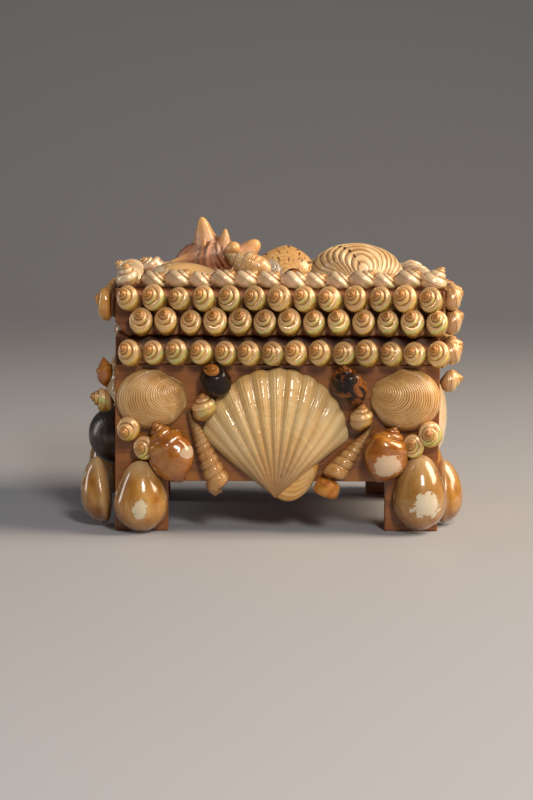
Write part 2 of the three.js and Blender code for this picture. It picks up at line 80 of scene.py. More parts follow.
# ======================================== Studio
# A plain pale floor that curves up behind, a warm soft light from the right, a tall one from
# near the camera and a cooler one from the left.


def node(tree, kind, sockets={}, **settings):
    """A shader node with its settings, and each socket linked or given its value."""
    made = tree.nodes.new("ShaderNode" + kind)
    for key, value in settings.items():
        setattr(made, key, value)
    for key, value in sockets.items():
        if isinstance(value, bpy.types.NodeSocket):
            tree.links.new(value, made.inputs[key])
        else:
            made.inputs[key].default_value = value
    return made


def finish_of(name, **values):
    """A new material's node tree and the sockets of its shader, with some of them set."""
    made = bpy.data.materials.new(name)
    made.use_nodes = True
    sockets = made.node_tree.nodes["Principled BSDF"].inputs
    for key, value in values.items():
        sockets[key.replace("_", " ")].default_value = value
    return made, made.node_tree, sockets


def smooth_mesh(shape, name, materials, smooth=True):
    """The bmesh as an object in the scene, in its materials."""
    mesh = bpy.data.meshes.new(name)
    shape.to_mesh(mesh)
    shape.free()
    if smooth:
        mesh.polygons.foreach_set("use_smooth", [True] * len(mesh.polygons))
    for material in materials:
        mesh.materials.append(material)
    made = bpy.data.objects.new(name, mesh)
    bpy.context.scene.collection.objects.link(made)
    return made


floor_half, curve_from, below_feet = 5, 1.2, 0.0002
backdrop = bmesh.new()
bmesh.ops.create_grid(backdrop, x_segments=1, y_segments=40, size=floor_half)
for vert in backdrop.verts:
    vert.co.z = 0.5 * max(0, vert.co.y - curve_from) ** 2 - below_feet
floor_paint, _, floor_sockets = finish_of("pale_floor", Roughness=0.6)
floor_sockets["Base Color"].default_value = (0.42, 0.44, 0.5, 1)
smooth_mesh(backdrop, "studio_floor", [floor_paint])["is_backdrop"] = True

world = bpy.data.worlds.new("studio")
bpy.context.scene.world = world
world.use_nodes = True
world.node_tree.nodes["Background"].inputs["Color"].default_value = (0.8, 0.8, 0.82, 1)
world.node_tree.nodes["Background"].inputs["Strength"].default_value = 0.09
bpy.context.scene.view_settings.view_transform = "Standard"

BOX_MIDDLE = Vector((0, 0, 0.07))


def soft_light(name, around, up, away, size, watts, colour):
    """A rectangular light at angles in degrees from the front and the floor, facing the box."""
    lamp = bpy.data.lights.new(name, "AREA")
    lamp.shape = "RECTANGLE"
    lamp.size, lamp.size_y = size
    lamp.energy = watts
    lamp.color = colour
    light = bpy.data.objects.new(name, lamp)
    turn, tilt = radians(around), radians(up)
    aim = Vector((-sin(turn) * cos(tilt), cos(turn) * cos(tilt), -sin(tilt)))
    light.location = BOX_MIDDLE - aim * away
    light.rotation_euler = aim.to_track_quat("-Z", "Y").to_euler()
    bpy.context.scene.collection.objects.link(light)


soft_light("right_window", 80, 36, 1.3, (0.7, 0.9), 25, (1, 0.8, 0.58))
soft_light("front_strip", 12, 30, 1.4, (0.2, 0.4), 9.5, (1, 0.93, 0.82))
soft_light("left_strip", -98, 14, 1.2, (0.2, 0.8), 3, (1, 0.95, 0.88))

# ======================================== Boards
# Ten thin softwood boards glued at the corners, stained a caramel brown and varnished together
# with the shells. Their edges are rounded by hand, and the stain is darker in the grain.

MM = 0.001


def colour_ramp(tree, factor, stops):
    """Colours at their places from 0 to 1, blended by a factor."""
    made = node(tree, "ValToRGB", {"Fac": factor})
    ramp = made.color_ramp
    while len(ramp.elements) < len(stops):
        ramp.elements.new(1)
    for element, (place, colour) in zip(ramp.elements, stops):
        element.position = place
        element.color = (*colour, 1)
    return made.outputs["Color"]


def mixed(tree, factor, first, second):
    """Two colours mixed by a factor."""
    colours = [(*colour, 1) if isinstance(colour, tuple) else colour for colour in (first, second)]
    sockets = {0: factor, 6: colours[0], 7: colours[1]}
    return node(tree, "Mix", sockets, data_type="RGBA").outputs[2]


def spread(tree, factor, low, high, to_low=0.0, to_high=1.0):
    """A factor between two values, spread out to two others."""
    sockets = {0: factor, 1: low, 2: high, 3: to_low, 4: to_high}
    return node(tree, "MapRange", sockets).outputs[0]


def maths(tree, operation, first, second=0.0):
    """The outcome of a sum on two factors."""
    return node(tree, "Math", {0: first, 1: second}, operation=operation).outputs[0]


def speckle(tree, scale, detail=4.0, roughness=0.55, distortion=0.0, stretch=(1, 1, 1)):
    """Noise in the object's own space, with features about 1/scale metres across."""
    space = node(tree, "TexCoord").outputs["Object"]
    moved = node(tree, "Mapping", {"Vector": space, "Scale": stretch}).outputs["Vector"]
    sockets = {
        "Vector": moved, "Scale": scale, "Detail": detail, "Roughness": roughness,
        "Distortion": distortion,
    }
    return node(tree, "TexNoise", sockets).outputs["Fac"]


def relief(tree, sockets, height, depth, under=None):
    """Adds relief of a depth in metres to the shader, over any relief under it."""
    links = {"Height": height, "Distance": depth, "Strength": 1.0}
    if under is not None:
        links["Normal"] = under
    made = node(tree, "Bump", links)
    tree.links.new(made.outputs["Normal"], sockets["Normal"])
    return made.outputs["Normal"]


def stained_wood(name, stretch):
    """Softwood with its grain along the axis that is stretched least."""
    made, tree, sockets = finish_of(name, Coat_Weight=0.3, Coat_Roughness=0.2)
    grain = speckle(tree, 260, 6, 0.6, 0.6, stretch)
    stain = speckle(tree, 45, 3, 0.5)
    body = colour_ramp(tree, grain, [
        (0.3, (0.11, 0.026, 0.003)), (0.46, (0.26, 0.083, 0.01)), (0.6, (0.35, 0.125, 0.017)),
        (0.75, (0.44, 0.175, 0.027)),
    ])
    blotches = spread(tree, stain, 0.38, 0.7, 0.0, 0.6)
    tree.links.new(mixed(tree, blotches, body, (0.2, 0.05, 0.009)), sockets["Base Color"])
    tree.links.new(spread(tree, grain, 0.3, 0.7, 0.5, 0.32), sockets["Roughness"])
    relief(tree, sockets, grain, 0.00012)
    return made


def shown(shape, name, materials, replaced, smooth=True):
    """Makes the bmesh a piece of the box that rides with it and stands for a CAD node."""
    piece = smooth_mesh(shape, name, materials, smooth)
    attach(piece, "root")
    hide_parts(replaced)


edge_round = 0.45 * MM
wood_across = stained_wood("stained_wood_across", (0.06, 1, 1))
wood_deep = stained_wood("stained_wood_deep", (1, 0.06, 1))
for board_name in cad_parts:
    if not board_name.endswith("_board"):
        continue
    board = bmesh.new()
    board.from_mesh(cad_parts[board_name].data)
    bmesh.ops.remove_doubles(board, verts=board.verts, dist=0.01 * MM)
    bmesh.ops.dissolve_limit(board, angle_limit=radians(1), verts=board.verts, edges=board.edges)
    bmesh.ops.bevel(
        board, geom=board.edges, offset=edge_round, segments=2, profile=0.5, material=-1,
        affect="EDGES",
    )
    side_board = "left" in board_name or "right" in board_name
    grain_along = wood_deep if side_board else wood_across
    shown(board, board_name.replace("board", "plank"), [grain_along], board_name, False)

# ======================================== Small top shells
# Pearly top shells about 11 mm wide, their outer layer worn down to the nacre and varnished.
# Each is a cone of rounded whorls, glued on by its base in rows along the edges.

GAP = 0.3


def side_of(turn, distance):
    """From millimetres along, up and out of a side of the box to the object's space."""
    return (
        Matrix.Rotation(turn, 4, "Z")
        @ Matrix.Translation((0, -distance, 0))
        @ Matrix.Rotation(pi / 2, 4, "X")
        @ Matrix.Scale(MM, 4)
    )


half_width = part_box("body_front_board")[1].x
half_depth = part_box("body_back_board")[1].y
lid_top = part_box("lid_top_board")[1].z
SIDES = {
    "front": side_of(0, half_depth),
    "right": side_of(pi / 2, half_width),
    "back": side_of(pi, half_depth),
    "left": side_of(-pi / 2, half_width),
    "top": Matrix.Translation((0, 0, lid_top)) @ Matrix.Scale(MM, 4),
}


def whorl_arc(radius, depth, growth, bulge, points, ripples=0, ripple=0.0):
    """Radius and depth below the tip from one suture to the next, bulging between them."""
    above = Vector((radius, depth)) / growth
    chord = Vector((radius, depth)) - above
    out = Vector((chord.y, -chord.x)).normalized()
    arc = []
    for index in range(points + 1):
        part = index / points
        swell = bulge * sin(pi * part) ** 0.7
        swell += ripple * sin(pi * part) * cos(2 * pi * ripples * part)
        arc.append(above + chord * part + out * swell)
    return arc


def rim_of(shape):
    """The open edges of a shape."""
    return [edge for edge in shape.edges if edge.is_boundary]


def painted(faces, layer, place):
    """Writes each corner's place in a UV map."""
    for face in faces:
        for loop in face.loops:
            loop[layer].uv = place(loop.vert)


def coiled(arc, base, growth, turns, steps, sculpt=None, closing=0.55):
    """A shell of whorls round the z axis, its tip at the origin and its mouth below.

    The arc is swept as a spiral that grows by `growth` a turn, and the last turn is closed
    below by the base's radii and depths. Over its last `closing` share this turn shrinks onto
    the one before it, so that no mouth shows. The UV map holds the turn and the place in the
    whorl.
    """
    shell = bmesh.new()
    turn_at = shell.verts.layers.float.new("turn_at")
    across = shell.verts.layers.float.new("across")
    step = Matrix.Rotation(-2 * pi / steps, 4, "Z") @ Matrix.Scale(growth ** (1 / steps), 4)
    place = Matrix.Scale(growth ** -turns, 4)
    part = 1 / (len(arc) - 1)

    def section(points, first, turn):
        made = []
        for index, (radius, depth) in enumerate(points):
            made.append(shell.verts.new(place @ Vector((radius, 0, -depth))))
            made[-1][across] = first + index * part
            made[-1][turn_at] = turn
        return made

    row = section(arc, 0, 0)
    edges = [shell.edges.new(pair) for pair in zip(row, row[1:])]
    for index in range(turns * steps):
        if index == (turns - 1) * steps:
            chain = [row[-1]] + section(base, 1 + part, index / steps)
            edges += [shell.edges.new(pair) for pair in zip(chain, chain[1:])]
        made = bmesh.ops.extrude_edge_only(shell, edges=edges)["geom"]
        new = {item for item in made if isinstance(item, bmesh.types.BMVert)}
        bmesh.ops.transform(shell, matrix=step, verts=list(new))
        place = place @ step
        for vert in new:
            vert[turn_at] = (index + 1) / steps
        edges = [
            item for item in made
            if isinstance(item, bmesh.types.BMEdge) and new.issuperset(item.verts)
        ]
        row = sorted(new, key=lambda vert: vert[across])[: len(arc)]
    for vert in shell.verts:
        if vert[across] < 0.01 and vert[turn_at] < 1:
            vert.co.x = vert.co.y = 0
    for vert in shell.verts:
        late = max(0, (vert[turn_at] - turns) / closing + 1)
        shrunk = 1 - (1.012 - 1 / growth) * late * late * (3 - 2 * late)
        vert.co *= shrunk
        if sculpt:
            size = shrunk * growth ** (vert[turn_at] - turns)
            sculpt(vert.co, vert[turn_at], vert[across], size)
    spiral = shell.loops.layers.uv.new("whorl")
    painted(shell.faces, spiral, lambda vert: (turns - vert[turn_at], vert[across]))
    bmesh.ops.remove_doubles(shell, verts=shell.verts, dist=0.003)
    for edge in shell.edges:
        places = [loop[spiral].uv.y for loop in edge.link_loops]
        edge.smooth = len(places) < 2 or abs(places[0] - places[1]) < 0.9
    mouth = bmesh.ops.holes_fill(shell, edges=rim_of(shell), sides=0)["faces"]
    painted(mouth, spiral, lambda vert: (0, 2))
    bmesh.ops.recalc_face_normals(shell, faces=shell.faces)
    if shell.calc_volume(signed=True) < 0:
        bmesh.ops.reverse_faces(shell, faces=shell.faces)
    return shell


def fitted(shell, width, breadth, height):
    """Stretches a shell to a width, breadth and height, and stands it over the origin."""
    low = Vector([min(vert.co[axis] for vert in shell.verts) for axis in range(3)])
    high = Vector([max(vert.co[axis] for vert in shell.verts) for axis in range(3)])
    size, middle = high - low, (low + high) / 2
    bmesh.ops.translate(shell, vec=(-middle.x, -middle.y, -low.z), verts=shell.verts)
    stretch = (width / size.x, breadth / size.y, height / size.z)
    bmesh.ops.scale(shell, vec=stretch, verts=shell.verts)
    return shell


def kept(shape):
    """The bmesh as a mesh to copy from, and nothing else."""
    mesh = bpy.data.meshes.new("to_copy")
    shape.to_mesh(mesh)
    shape.free()
    return mesh


# The way a face turns for the nacre's painted green sheen and painted ochre shade.
SHEEN_AND_SHADE_FACING = Vector((0.5, -0.8, 0.3)).normalized()


def set_into(piece, mesh, matrix, tint=0.5, lower=SHEEN_AND_SHADE_FACING, material=0):
    """Copies a mesh into a piece at its place, flat where it meets the board.

    Its points carry a tint, or their height if none is given, and how far they face the lower
    right, where the nacre's finish paints a green sheen and, furthest that way, an ochre shade.
    """
    for layer in ("tint", "low"):
        if layer not in piece.verts.layers.float:
            piece.verts.layers.float.new(layer)
    if "whorl" not in piece.loops.layers.uv:
        piece.loops.layers.uv.new("whorl")
    old_verts, old_faces = len(piece.verts), len(piece.faces)
    piece.from_mesh(mesh)
    piece.verts.ensure_lookup_table()
    piece.faces.ensure_lookup_table()
    piece.normal_update()
    tints, sheen_shade_facings = piece.verts.layers.float["tint"], piece.verts.layers.float["low"]
    turned = matrix.to_3x3().normalized()
    for face in piece.faces[old_faces:]:
        face.material_index = material
        face.smooth = True
    for vert in piece.verts[old_verts:]:
        vert[sheen_shade_facings] = (turned @ vert.normal).dot(lower)
        vert.co = matrix @ vert.co
        vert.co.z = max(vert.co.z, GAP)
        vert[tints] = vert.co.z / 3 if tint is None else tint


TOP_GROWTH, TOP_HEIGHT = 1.66, 13
ROUND_HEIGHT = 13.2
TOP_BASE = [(6.4, 11.4), (4.6, 13.2), (0, 14)]
ROUND_BASE = [(6.9, 11.8), (5.9, 14), (3.4, 15.6), (0, 16.2)]
top_meshes, round_top_meshes = [], []
for bulge, squat in ((1.5, 1.0), (1.3, 1.06), (1.7, 0.95)):
    arc = whorl_arc(6.5, 9.6, TOP_GROWTH, bulge, 6)
    top_shell = coiled(arc, TOP_BASE, TOP_GROWTH, 4, 22)
    top_meshes.append(kept(fitted(top_shell, 10.8, 10.8, TOP_HEIGHT * squat)))
    round_top = coiled(arc, ROUND_BASE, TOP_GROWTH, 4, 28)
    round_top_meshes.append(kept(fitted(round_top, 11.8, 11.8, ROUND_HEIGHT * squat)))


def on_map(tree, name):
    """A UV map, and the places along and across it."""
    plan = node(tree, "UVMap", uv_map=name).outputs["UV"]
    parts = node(tree, "SeparateXYZ", {"Vector": plan}).outputs
    return plan, parts["X"], parts["Y"]


def carried(tree, name):
    """What the points carry under a name."""
    return node(tree, "Attribute", attribute_name=name).outputs["Fac"]


def sutures(tree, place, near, wide, far, share):
    """How brown a whorl is over its width, most so along the sutures at its two edges."""
    greys = [(0.0, 1), (0.05, near), (wide, 0), (0.88, 0), (0.96, far), (1.0, 0.4)]
    lines = colour_ramp(tree, place, [(at, (grey, grey, grey)) for at, grey in greys])
    return maths(tree, "MULTIPLY", lines, share)


def nacre(name, ground, line, tip, greens, pink, ochre):
    """Varnished nacre: a warm ground, brown along the sutures and at the tip, with sheens.

    Faces turned to the lower right get a painted green sheen, and those turned furthest that way
    a painted ochre shade.
    """
    made, tree, sockets = finish_of(
        name, Roughness=0.3, Metallic=0.2, Coat_Weight=0.7, Coat_Roughness=0.08,
    )
    turn, place = on_map(tree, "whorl")[1:]
    tint = carried(tree, "tint")
    wander = maths(tree, "ADD", speckle(tree, 380, 2, 0.5, 1.0), tint)
    swing = maths(tree, "SINE", maths(tree, "MULTIPLY", wander, 11.0))
    green = colour_ramp(tree, spread(tree, swing, -1.0, 1.0), greens)
    sheen = mixed(tree, spread(tree, swing, 0.2, 1.0, 0.0, 0.35), ground, pink)
    # Painted green sheen, then painted ochre shade, by how far each point faces the lower right.
    share = maths(tree, "ADD", carried(tree, "low"), maths(tree, "MULTIPLY", swing, 0.18))
    painted_green_sheen = mixed(tree, spread(tree, share, 0.3, 0.55, 0.0, 0.8), sheen, green)
    sheen_and_shade_painted = mixed(tree, spread(tree, share, 0.62, 0.85, 0.0, 0.85), painted_green_sheen, ochre)
    lined = mixed(tree, sutures(tree, place, 0.9, 0.12, 0.9, 0.9), sheen_and_shade_painted, line)
    tipped = mixed(tree, spread(tree, turn, 1.4, 2.8, 0.0, 0.85), lined, tip)
    shade = spread(tree, tint, 0.0, 1.0, 0.78, 1.1)
    toned = node(tree, "HueSaturation", {"Color": tipped, "Value": shade}).outputs["Color"]
    tree.links.new(toned, sockets["Base Color"])
    thread = maths(tree, "SINE", maths(tree, "MULTIPLY", place, 44.0))
    under = relief(tree, sockets, thread, 0.00002)
    relief(tree, sockets, speckle(tree, 900, 3), 0.00006, under)
    return made


pearl = nacre(
    "worn_nacre", (0.74, 0.46, 0.21), (0.2, 0.045, 0.008), (0.5, 0.2, 0.035),
    [(0.0, (0.72, 0.42, 0.06)), (0.4, (0.74, 0.58, 0.1)), (0.75, (0.62, 0.66, 0.12)),
     (1.0, (0.5, 0.68, 0.26))],
    (0.84, 0.52, 0.3), (0.46, 0.23, 0.02),
)

glue, glue_tree, glue_sockets = finish_of(
    "glue_varnish_painted_shade", Roughness=0.5, Specular_IOR_Level=0.25,
)
glue_clouds = speckle(glue_tree, 300, 3)
glue_height_shade = maths(glue_tree, "ADD", carried(glue_tree, "tint"),
                   maths(glue_tree, "MULTIPLY", glue_clouds, 0.4))
# Coloured by height: the low, thin glue between shells is painted shade, near black; the raised
# webs keep a pinkish tan.
glue_colour = colour_ramp(glue_tree, glue_height_shade, [
    (0.45, (0.06, 0.016, 0.004)), (0.6, (0.13, 0.038, 0.01)), (0.8, (0.24, 0.095, 0.03)),
    (1.0, (0.42, 0.23, 0.11)),
])
glue_tree.links.new(glue_colour, glue_sockets["Base Color"])
relief(glue_tree, glue_sockets, glue_clouds, 0.0002)


def closed(shape):
    """The shape with its holes filled and its faces outwards."""
    bmesh.ops.holes_fill(shape, edges=rim_of(shape), sides=0)
    bmesh.ops.recalc_face_normals(shape, faces=shape.faces)
    return shape


def brought_down(shape):
    """Draws the rim of a shape down to the board."""
    skirt = bmesh.ops.extrude_edge_only(shape, edges=rim_of(shape))
    for vert in skirt["geom"]:
        if isinstance(vert, bmesh.types.BMVert):
            vert.co.z = GAP


TALLER = 1.12


def add_glue(piece, x0, x1, y0, y1, shells, radius):
    """The skin of glue and varnish between shells, drawn up against each of them."""
    thin, rougher, drawn_up, reach, rounded = 0.25, 0.15, 1.5, 0.9, 1.2
    film = bmesh.new()
    bmesh.ops.create_grid(film, x_segments=round(x1 - x0), y_segments=round(y1 - y0), size=0.5)
    for vert in film.verts:
        x = (x0 + x1) / 2 + vert.co.x * (x1 - x0)
        y = (y0 + y1) / 2 + vert.co.y * (y1 - y0)
        drawn = sum(
            exp(-max(0, hypot(x - sx, (y - sy) / TALLER) - radius) / reach) for sx, sy in shells
        )
        rough = noise.noise(Vector((x, y, 0)) * 0.35)
        to_edge = min(x - x0, x1 - x, y - y0, y1 - y) + 0.2
        height = thin + rougher * rough + drawn_up * min(drawn, 1.4)
        vert.co = (x, y, GAP + min(1, to_edge / rounded) * height)
    brought_down(film)
    set_into(piece, kept(closed(film)), Matrix.Identity(4), None, material=1)


def standing(x, y, lean_x, lean_y, size=1.0, spin=0.0):
    """The place of a shell on its base at (x, y), its tip leaning by (lean_x, lean_y).

    Its mouth is turned towards where it leans, where the tip hides it.
    """
    tip = Vector((lean_x, lean_y, TOP_HEIGHT)).normalized()
    raised = 2.2 * size * sqrt(1 - tip.z * tip.z)
    mouth = atan2(lean_y, lean_x) + spin
    return (
        Matrix.Translation((x - 0.45 * lean_x, y - 0.45 * lean_y, raised))
        @ Matrix.Diagonal((1, TALLER, 1, 1))
        @ Vector((0, 0, 1)).rotation_difference(tip).to_matrix().to_4x4()
        @ Matrix.Rotation(mouth, 4, "Z")
        @ Matrix.Scale(size, 4)
    )


def fixed(piece, place, name, materials, ending="_shell"):
    """Moves a piece from millimetres to its place on the box and shows it there."""
    bmesh.ops.transform(piece, matrix=place, verts=piece.verts)
    shown(piece, name + ending, materials, name)


END_X, END_Y = half_width / MM - 0.5, half_depth / MM - 0.5
CHIPPED_X = END_X - 6.7
UPPER_Y, LOWER_Y, BODY_Y = 109.9, 99, 84.6
LID_STRIP, BODY_STRIP = (92, 114), (78.4, 91.5)
# A row is its number of shells, where its first and last stand, its height and how its tips lean.
LID_ROWS = [(13, -70.3, 70, UPPER_Y, -7.6, 5), (13, -64, 73.4, LOWER_Y, -2.4, 8)]
BODY_ROW = [(14, -69.6, 74, BODY_Y, -7.6, 4.8)]
SIDE_LID_ROWS = [(10, -54, 52, UPPER_Y, 6, 5.5), (10, -53, 54, LOWER_Y, 5, 6)]
SIDE_BODY_ROW = [(10, -54, 54, BODY_Y, 5.5, 5)]
for seed, (side, name, rows, strip) in enumerate((
    ("front", "front_lid_rows", LID_ROWS, (-CHIPPED_X, END_X, *LID_STRIP)),
    ("back", "back_lid_rows", LID_ROWS, (-END_X, END_X, *LID_STRIP)),
    ("right", "right_lid_rows", SIDE_LID_ROWS, (-END_Y, END_Y, *LID_STRIP)),
    ("front", "front_body_row", BODY_ROW, (-END_X, END_X, *BODY_STRIP)),
    ("back", "back_body_row", BODY_ROW, (-END_X, END_X, *BODY_STRIP)),
    ("right", "right_body_row", SIDE_BODY_ROW, (-END_Y, END_Y, *BODY_STRIP)),
), 1):
    rng = Random(seed)
    piece = bmesh.new()
    feet = []
    for count, x0, x1, y, lean_x, lean_y in rows:
        for index in range(count):
            size = 1 + 0.04 * sin(2.4 * (index + count)) + rng.uniform(-0.04, 0.04)
            x = x0 + (x1 - x0) * index / (count - 1)
            tip_x, tip_y = lean_x + rng.uniform(-0.9, 0.9), lean_y + rng.uniform(-0.8, 0.8)
            place = standing(x, y + rng.uniform(-0.3, 0.3), tip_x, tip_y, size,
                             rng.uniform(-0.7, 0.7))
            set_into(piece, rng.choice(top_meshes), place, rng.uniform(0, 1))
            feet.append((x - 0.4 * tip_x, y - 0.4 * tip_y))
    add_glue(piece, *strip, feet, 4.9)
    fixed(piece, SIDES[side], name, [pearl, glue], "_shells")

# ======================================== Rows along the lid's top edges
# The same top shells laid on their sides along each edge of the lid, tips up and to the right,
# with one that stands at the first corner of the front row and others laid at its last and at
# both ends of the back row.

EDGE_IN, EDGE_TILT = 5.5, 0.75
# The way a face turns for the painted green sheen and painted ochre shade of the lying shells.
EDGE_SHEEN_AND_SHADE_FACING = Vector((0.35, -0.12, -0.93)).normalized()


def edge_of(turn, distance):
    """From millimetres along an edge of the lid, in from it and up to the object's space."""
    return (
        Matrix.Rotation(turn, 4, "Z")
        @ Matrix.Translation((0, -distance, lid_top))
        @ Matrix.Scale(MM, 4)
    )


def lying(x, y, z, tilt, size, spin):
    """The place of a shell on its side, its tip raised by `tilt` from the edge's direction."""
    return (
        Matrix.Translation((x, y, z))
        @ Matrix.Rotation(pi / 2 - tilt, 4, "Y")
        @ Matrix.Rotation(spin, 4, "Z")
        @ Matrix.Scale(size, 4)
    )


# A paler copy of the nacre for the shells on the lid's top: painted light where light falls on them
# from above.
lit_pale_pearl = nacre(
    "pale_nacre_painted_light", (0.92, 0.7, 0.46), (0.36, 0.11, 0.025), (0.7, 0.36, 0.1),
    [(0.0, (0.8, 0.55, 0.16)), (0.4, (0.8, 0.68, 0.25)), (0.75, (0.7, 0.74, 0.3)),
     (1.0, (0.6, 0.75, 0.42))],
    (0.95, 0.7, 0.52), (0.6, 0.34, 0.08),
)
front_corners = [
    Matrix.Translation((0, 0, -2)) @ standing(-70.8, EDGE_IN, -2.6, -4, 0.98, 2.2),
    lying(69.6, EDGE_IN, -2.4, 1.05, 1.1, 1),
]
back_corners = [lying(-74, EDGE_IN, -1.2, 0.6, 0.95, 1), lying(68, EDGE_IN, -1.2, 0.6, 1, 1)]
SHORT_END = 41.3
for seed, (name, place, count, x0, x1, end, corners) in enumerate((
    ("front_edge_row", edge_of(0, half_depth), 12, -60, 59, END_X, front_corners),
    ("back_edge_row", edge_of(pi, half_depth), 12, -60, 59, END_X, back_corners),
    ("right_edge_row", edge_of(pi / 2, half_width), 8, -37.8, 37.8, SHORT_END, []),
    ("left_edge_row", edge_of(-pi / 2, half_width), 8, -37.8, 37.8, SHORT_END, []),
), 7):
    rng = Random(seed)
    piece = bmesh.new()
    feet = []
    for index in range(count):
        size = 1 + 0.05 * sin(2.4 * index)
        x = x0 + (x1 - x0) * index / (count - 1)
        tilt = EDGE_TILT + rng.uniform(-0.12, 0.12)
        at = lying(x - 3.2, EDGE_IN + rng.uniform(-0.4, 0.4), rng.uniform(-1.6, -0.8), tilt, size,
                   rng.uniform(-0.4, 0.6))
        set_into(piece, rng.choice(round_top_meshes), at, rng.uniform(0, 1), EDGE_SHEEN_AND_SHADE_FACING)
        feet.append((x, EDGE_IN))
    for at in corners:
        set_into(piece, top_meshes[1], at, rng.uniform(0.3, 1), EDGE_SHEEN_AND_SHADE_FACING)
        feet.append((at.translation.x, EDGE_IN))
    add_glue(piece, -end, end, EDGE_IN - 4, EDGE_IN + 4, feet, 3.6)
    fixed(piece, place, name, [lit_pale_pearl, glue], "_shells")

# ======================================== Single top shells
# The same shells set among the larger ones: two lying on their sides next to the scallop, a
# pair on each front corner, and a few on the sides.


def laid(base, tip, z_base, z_tip, spin, length):
    """The place of a shell of a length from its mouth end to its tip, on its side."""
    start, end = Vector((*base, z_base)), Vector((*tip, z_tip))
    along = end - start
    return (
        Matrix.Translation(start)
        @ Vector((0, 0, 1)).rotation_difference(along.normalized()).to_matrix().to_4x4()
        @ Matrix.Rotation(spin, 4, "Z")
        @ Matrix.Scale(along.length / length, 4)
    )


for seed, (side, name, meshes, places) in enumerate((
    ("front", "front_left_top", round_top_meshes,
     [laid((-33.4, 52.6), (-36.1, 65), 5.4, 7.2, 0.5, ROUND_HEIGHT)]),
    ("front", "front_right_top", round_top_meshes,
     [laid((39, 48.2), (38.7, 60.2), 5.2, 7, 0.9, ROUND_HEIGHT)]),
    ("front", "front_left_top_pair", top_meshes,
     [standing(-69.6, 49.2, -5, -2, 0.98, 0.4), standing(-62.2, 40, -5, 0.4, 0.94, 0.2)]),
    ("front", "front_right_top_pair", top_meshes,
     [standing(71.4, 46.8, -2, 0.6, 1.04, 0.4), standing(63.4, 41, -3.6, 3, 0.94, 0.2)]),
    ("left", "left_top", top_meshes, [standing(50, 60.4, 3, 3, 0.94, 0.4)]),
    ("right", "right_front_top", top_meshes, [standing(-51, 70.4, 3, 1.4, 0.9, 0.4)]),
    ("right", "right_back_top", top_meshes, [standing(51, 70.4, 0, 3, 0.92, 0.4)]),
), 11):
    rng = Random(seed)
    piece = bmesh.new()
    for at in places:
        set_into(piece, rng.choice(meshes), at, rng.uniform(0.3, 1))
    fixed(piece, SIDES[side], name, [pearl])

# ======================================== Smooth cones on the lid's left side
# One row of larger worn cones, a smooth orange brown, in place of the small top shells there.


def patch_at(tree, x, z, half_x, half_z, ragged):
    """1 inside a ragged patch of an upright face, at a place and of half sizes in millimetres."""
    space = node(tree, "TexCoord").outputs["Object"]
    scaled = node(tree, "Mapping", {
        "Vector": space, "Location": (-x / half_x, 0, -z / half_z),
        "Scale": (1000 / half_x, 0, 1000 / half_z),
    }).outputs["Vector"]
    away = node(tree, "VectorMath", {0: scaled}, operation="LENGTH").outputs["Value"]
    noisy = maths(tree, "MULTIPLY", speckle(tree, 200, 5, 0.6, 0.6), ragged)
    return spread(tree, maths(tree, "ADD", away, noisy), 1 + ragged / 2, 0.95 + ragged / 2)


def worn_shell(name, stops, lines, gloss=0.3, coat=0.5, cords=0.0, cord_depth=0.0, patches=()):
    """Varnished shell in mottled colours, darker along its sutures and its spiral cords.

    Where it is worn, each patch is a colour and the place that patch_at takes.
    """
    made, tree, sockets = finish_of(
        name, Roughness=gloss, Coat_Weight=coat, Coat_Roughness=0.06,
    )
    place = on_map(tree, "whorl")[2]
    ground = colour_ramp(tree, speckle(tree, 150, 5, 0.6, 0.4), stops)
    share = sutures(tree, place, 0.7, 0.14, 0.6, 0.75)
    under = relief(tree, sockets, speckle(tree, 500, 3), 0.00008)
    if cords:
        cord = maths(tree, "SINE", maths(tree, "MULTIPLY", place, cords * 2 * pi))
        share = maths(tree, "MAXIMUM", share, spread(tree, cord, -1.0, -0.2, 0.45, 0.0))
        relief(tree, sockets, cord, cord_depth, under)
    coloured = mixed(tree, share, ground, lines)
    for colour, patch in patches:
        coloured = mixed(tree, patch_at(tree, *patch), coloured, colour)
    tree.links.new(coloured, sockets["Base Color"])
    uneven = spread(tree, speckle(tree, 700, 2), 0.3, 0.7, gloss - 0.06, gloss + 0.1)
    tree.links.new(uneven, sockets["Roughness"])
    return made


amber_cone = worn_shell("amber_cone", [
    (0.3, (0.5, 0.2, 0.04)), (0.5, (0.66, 0.33, 0.09)), (0.7, (0.74, 0.46, 0.18)),
], (0.36, 0.12, 0.02), 0.22, 0.8)

CONE_GROWTH, CONE_Y, CONES = 2.8, 106.2, 7
cone_arc = whorl_arc(8.4, 8.8, CONE_GROWTH, 1.9, 12)
cone = coiled(cone_arc, [(8.2, 10.4), (6.4, 11.6), (0, 12)], CONE_GROWTH, 3, 28)
cone_mesh = kept(fitted(cone, 13.8, 12.8, 10))
cone_row = bmesh.new()
rng = Random(18)
cone_feet = []
for index in range(CONES):
    x = -49 + 101 * index / (CONES - 1)
    size = 1 if index == CONES - 1 else 0.8 + 0.04 * sin(2.4 * index)
    at = standing(x, CONE_Y, rng.uniform(-1, 0.4), rng.uniform(2.6, 3.6), size)
    set_into(cone_row, cone_mesh, at, rng.uniform(0, 1))
    cone_feet.append((x, CONE_Y))
add_glue(cone_row, -END_Y, END_Y, 100, 113.7, cone_feet, 6.6)
fixed(cone_row, SIDES["left"], "left_lid_row", [amber_cone, glue], "_cones")

# ======================================== Cowries
# Egg-shaped cowries on the feet, amber under the varnish, each with a patch worn down to the
# cream layer below, and a rounded rim where it meets the board.


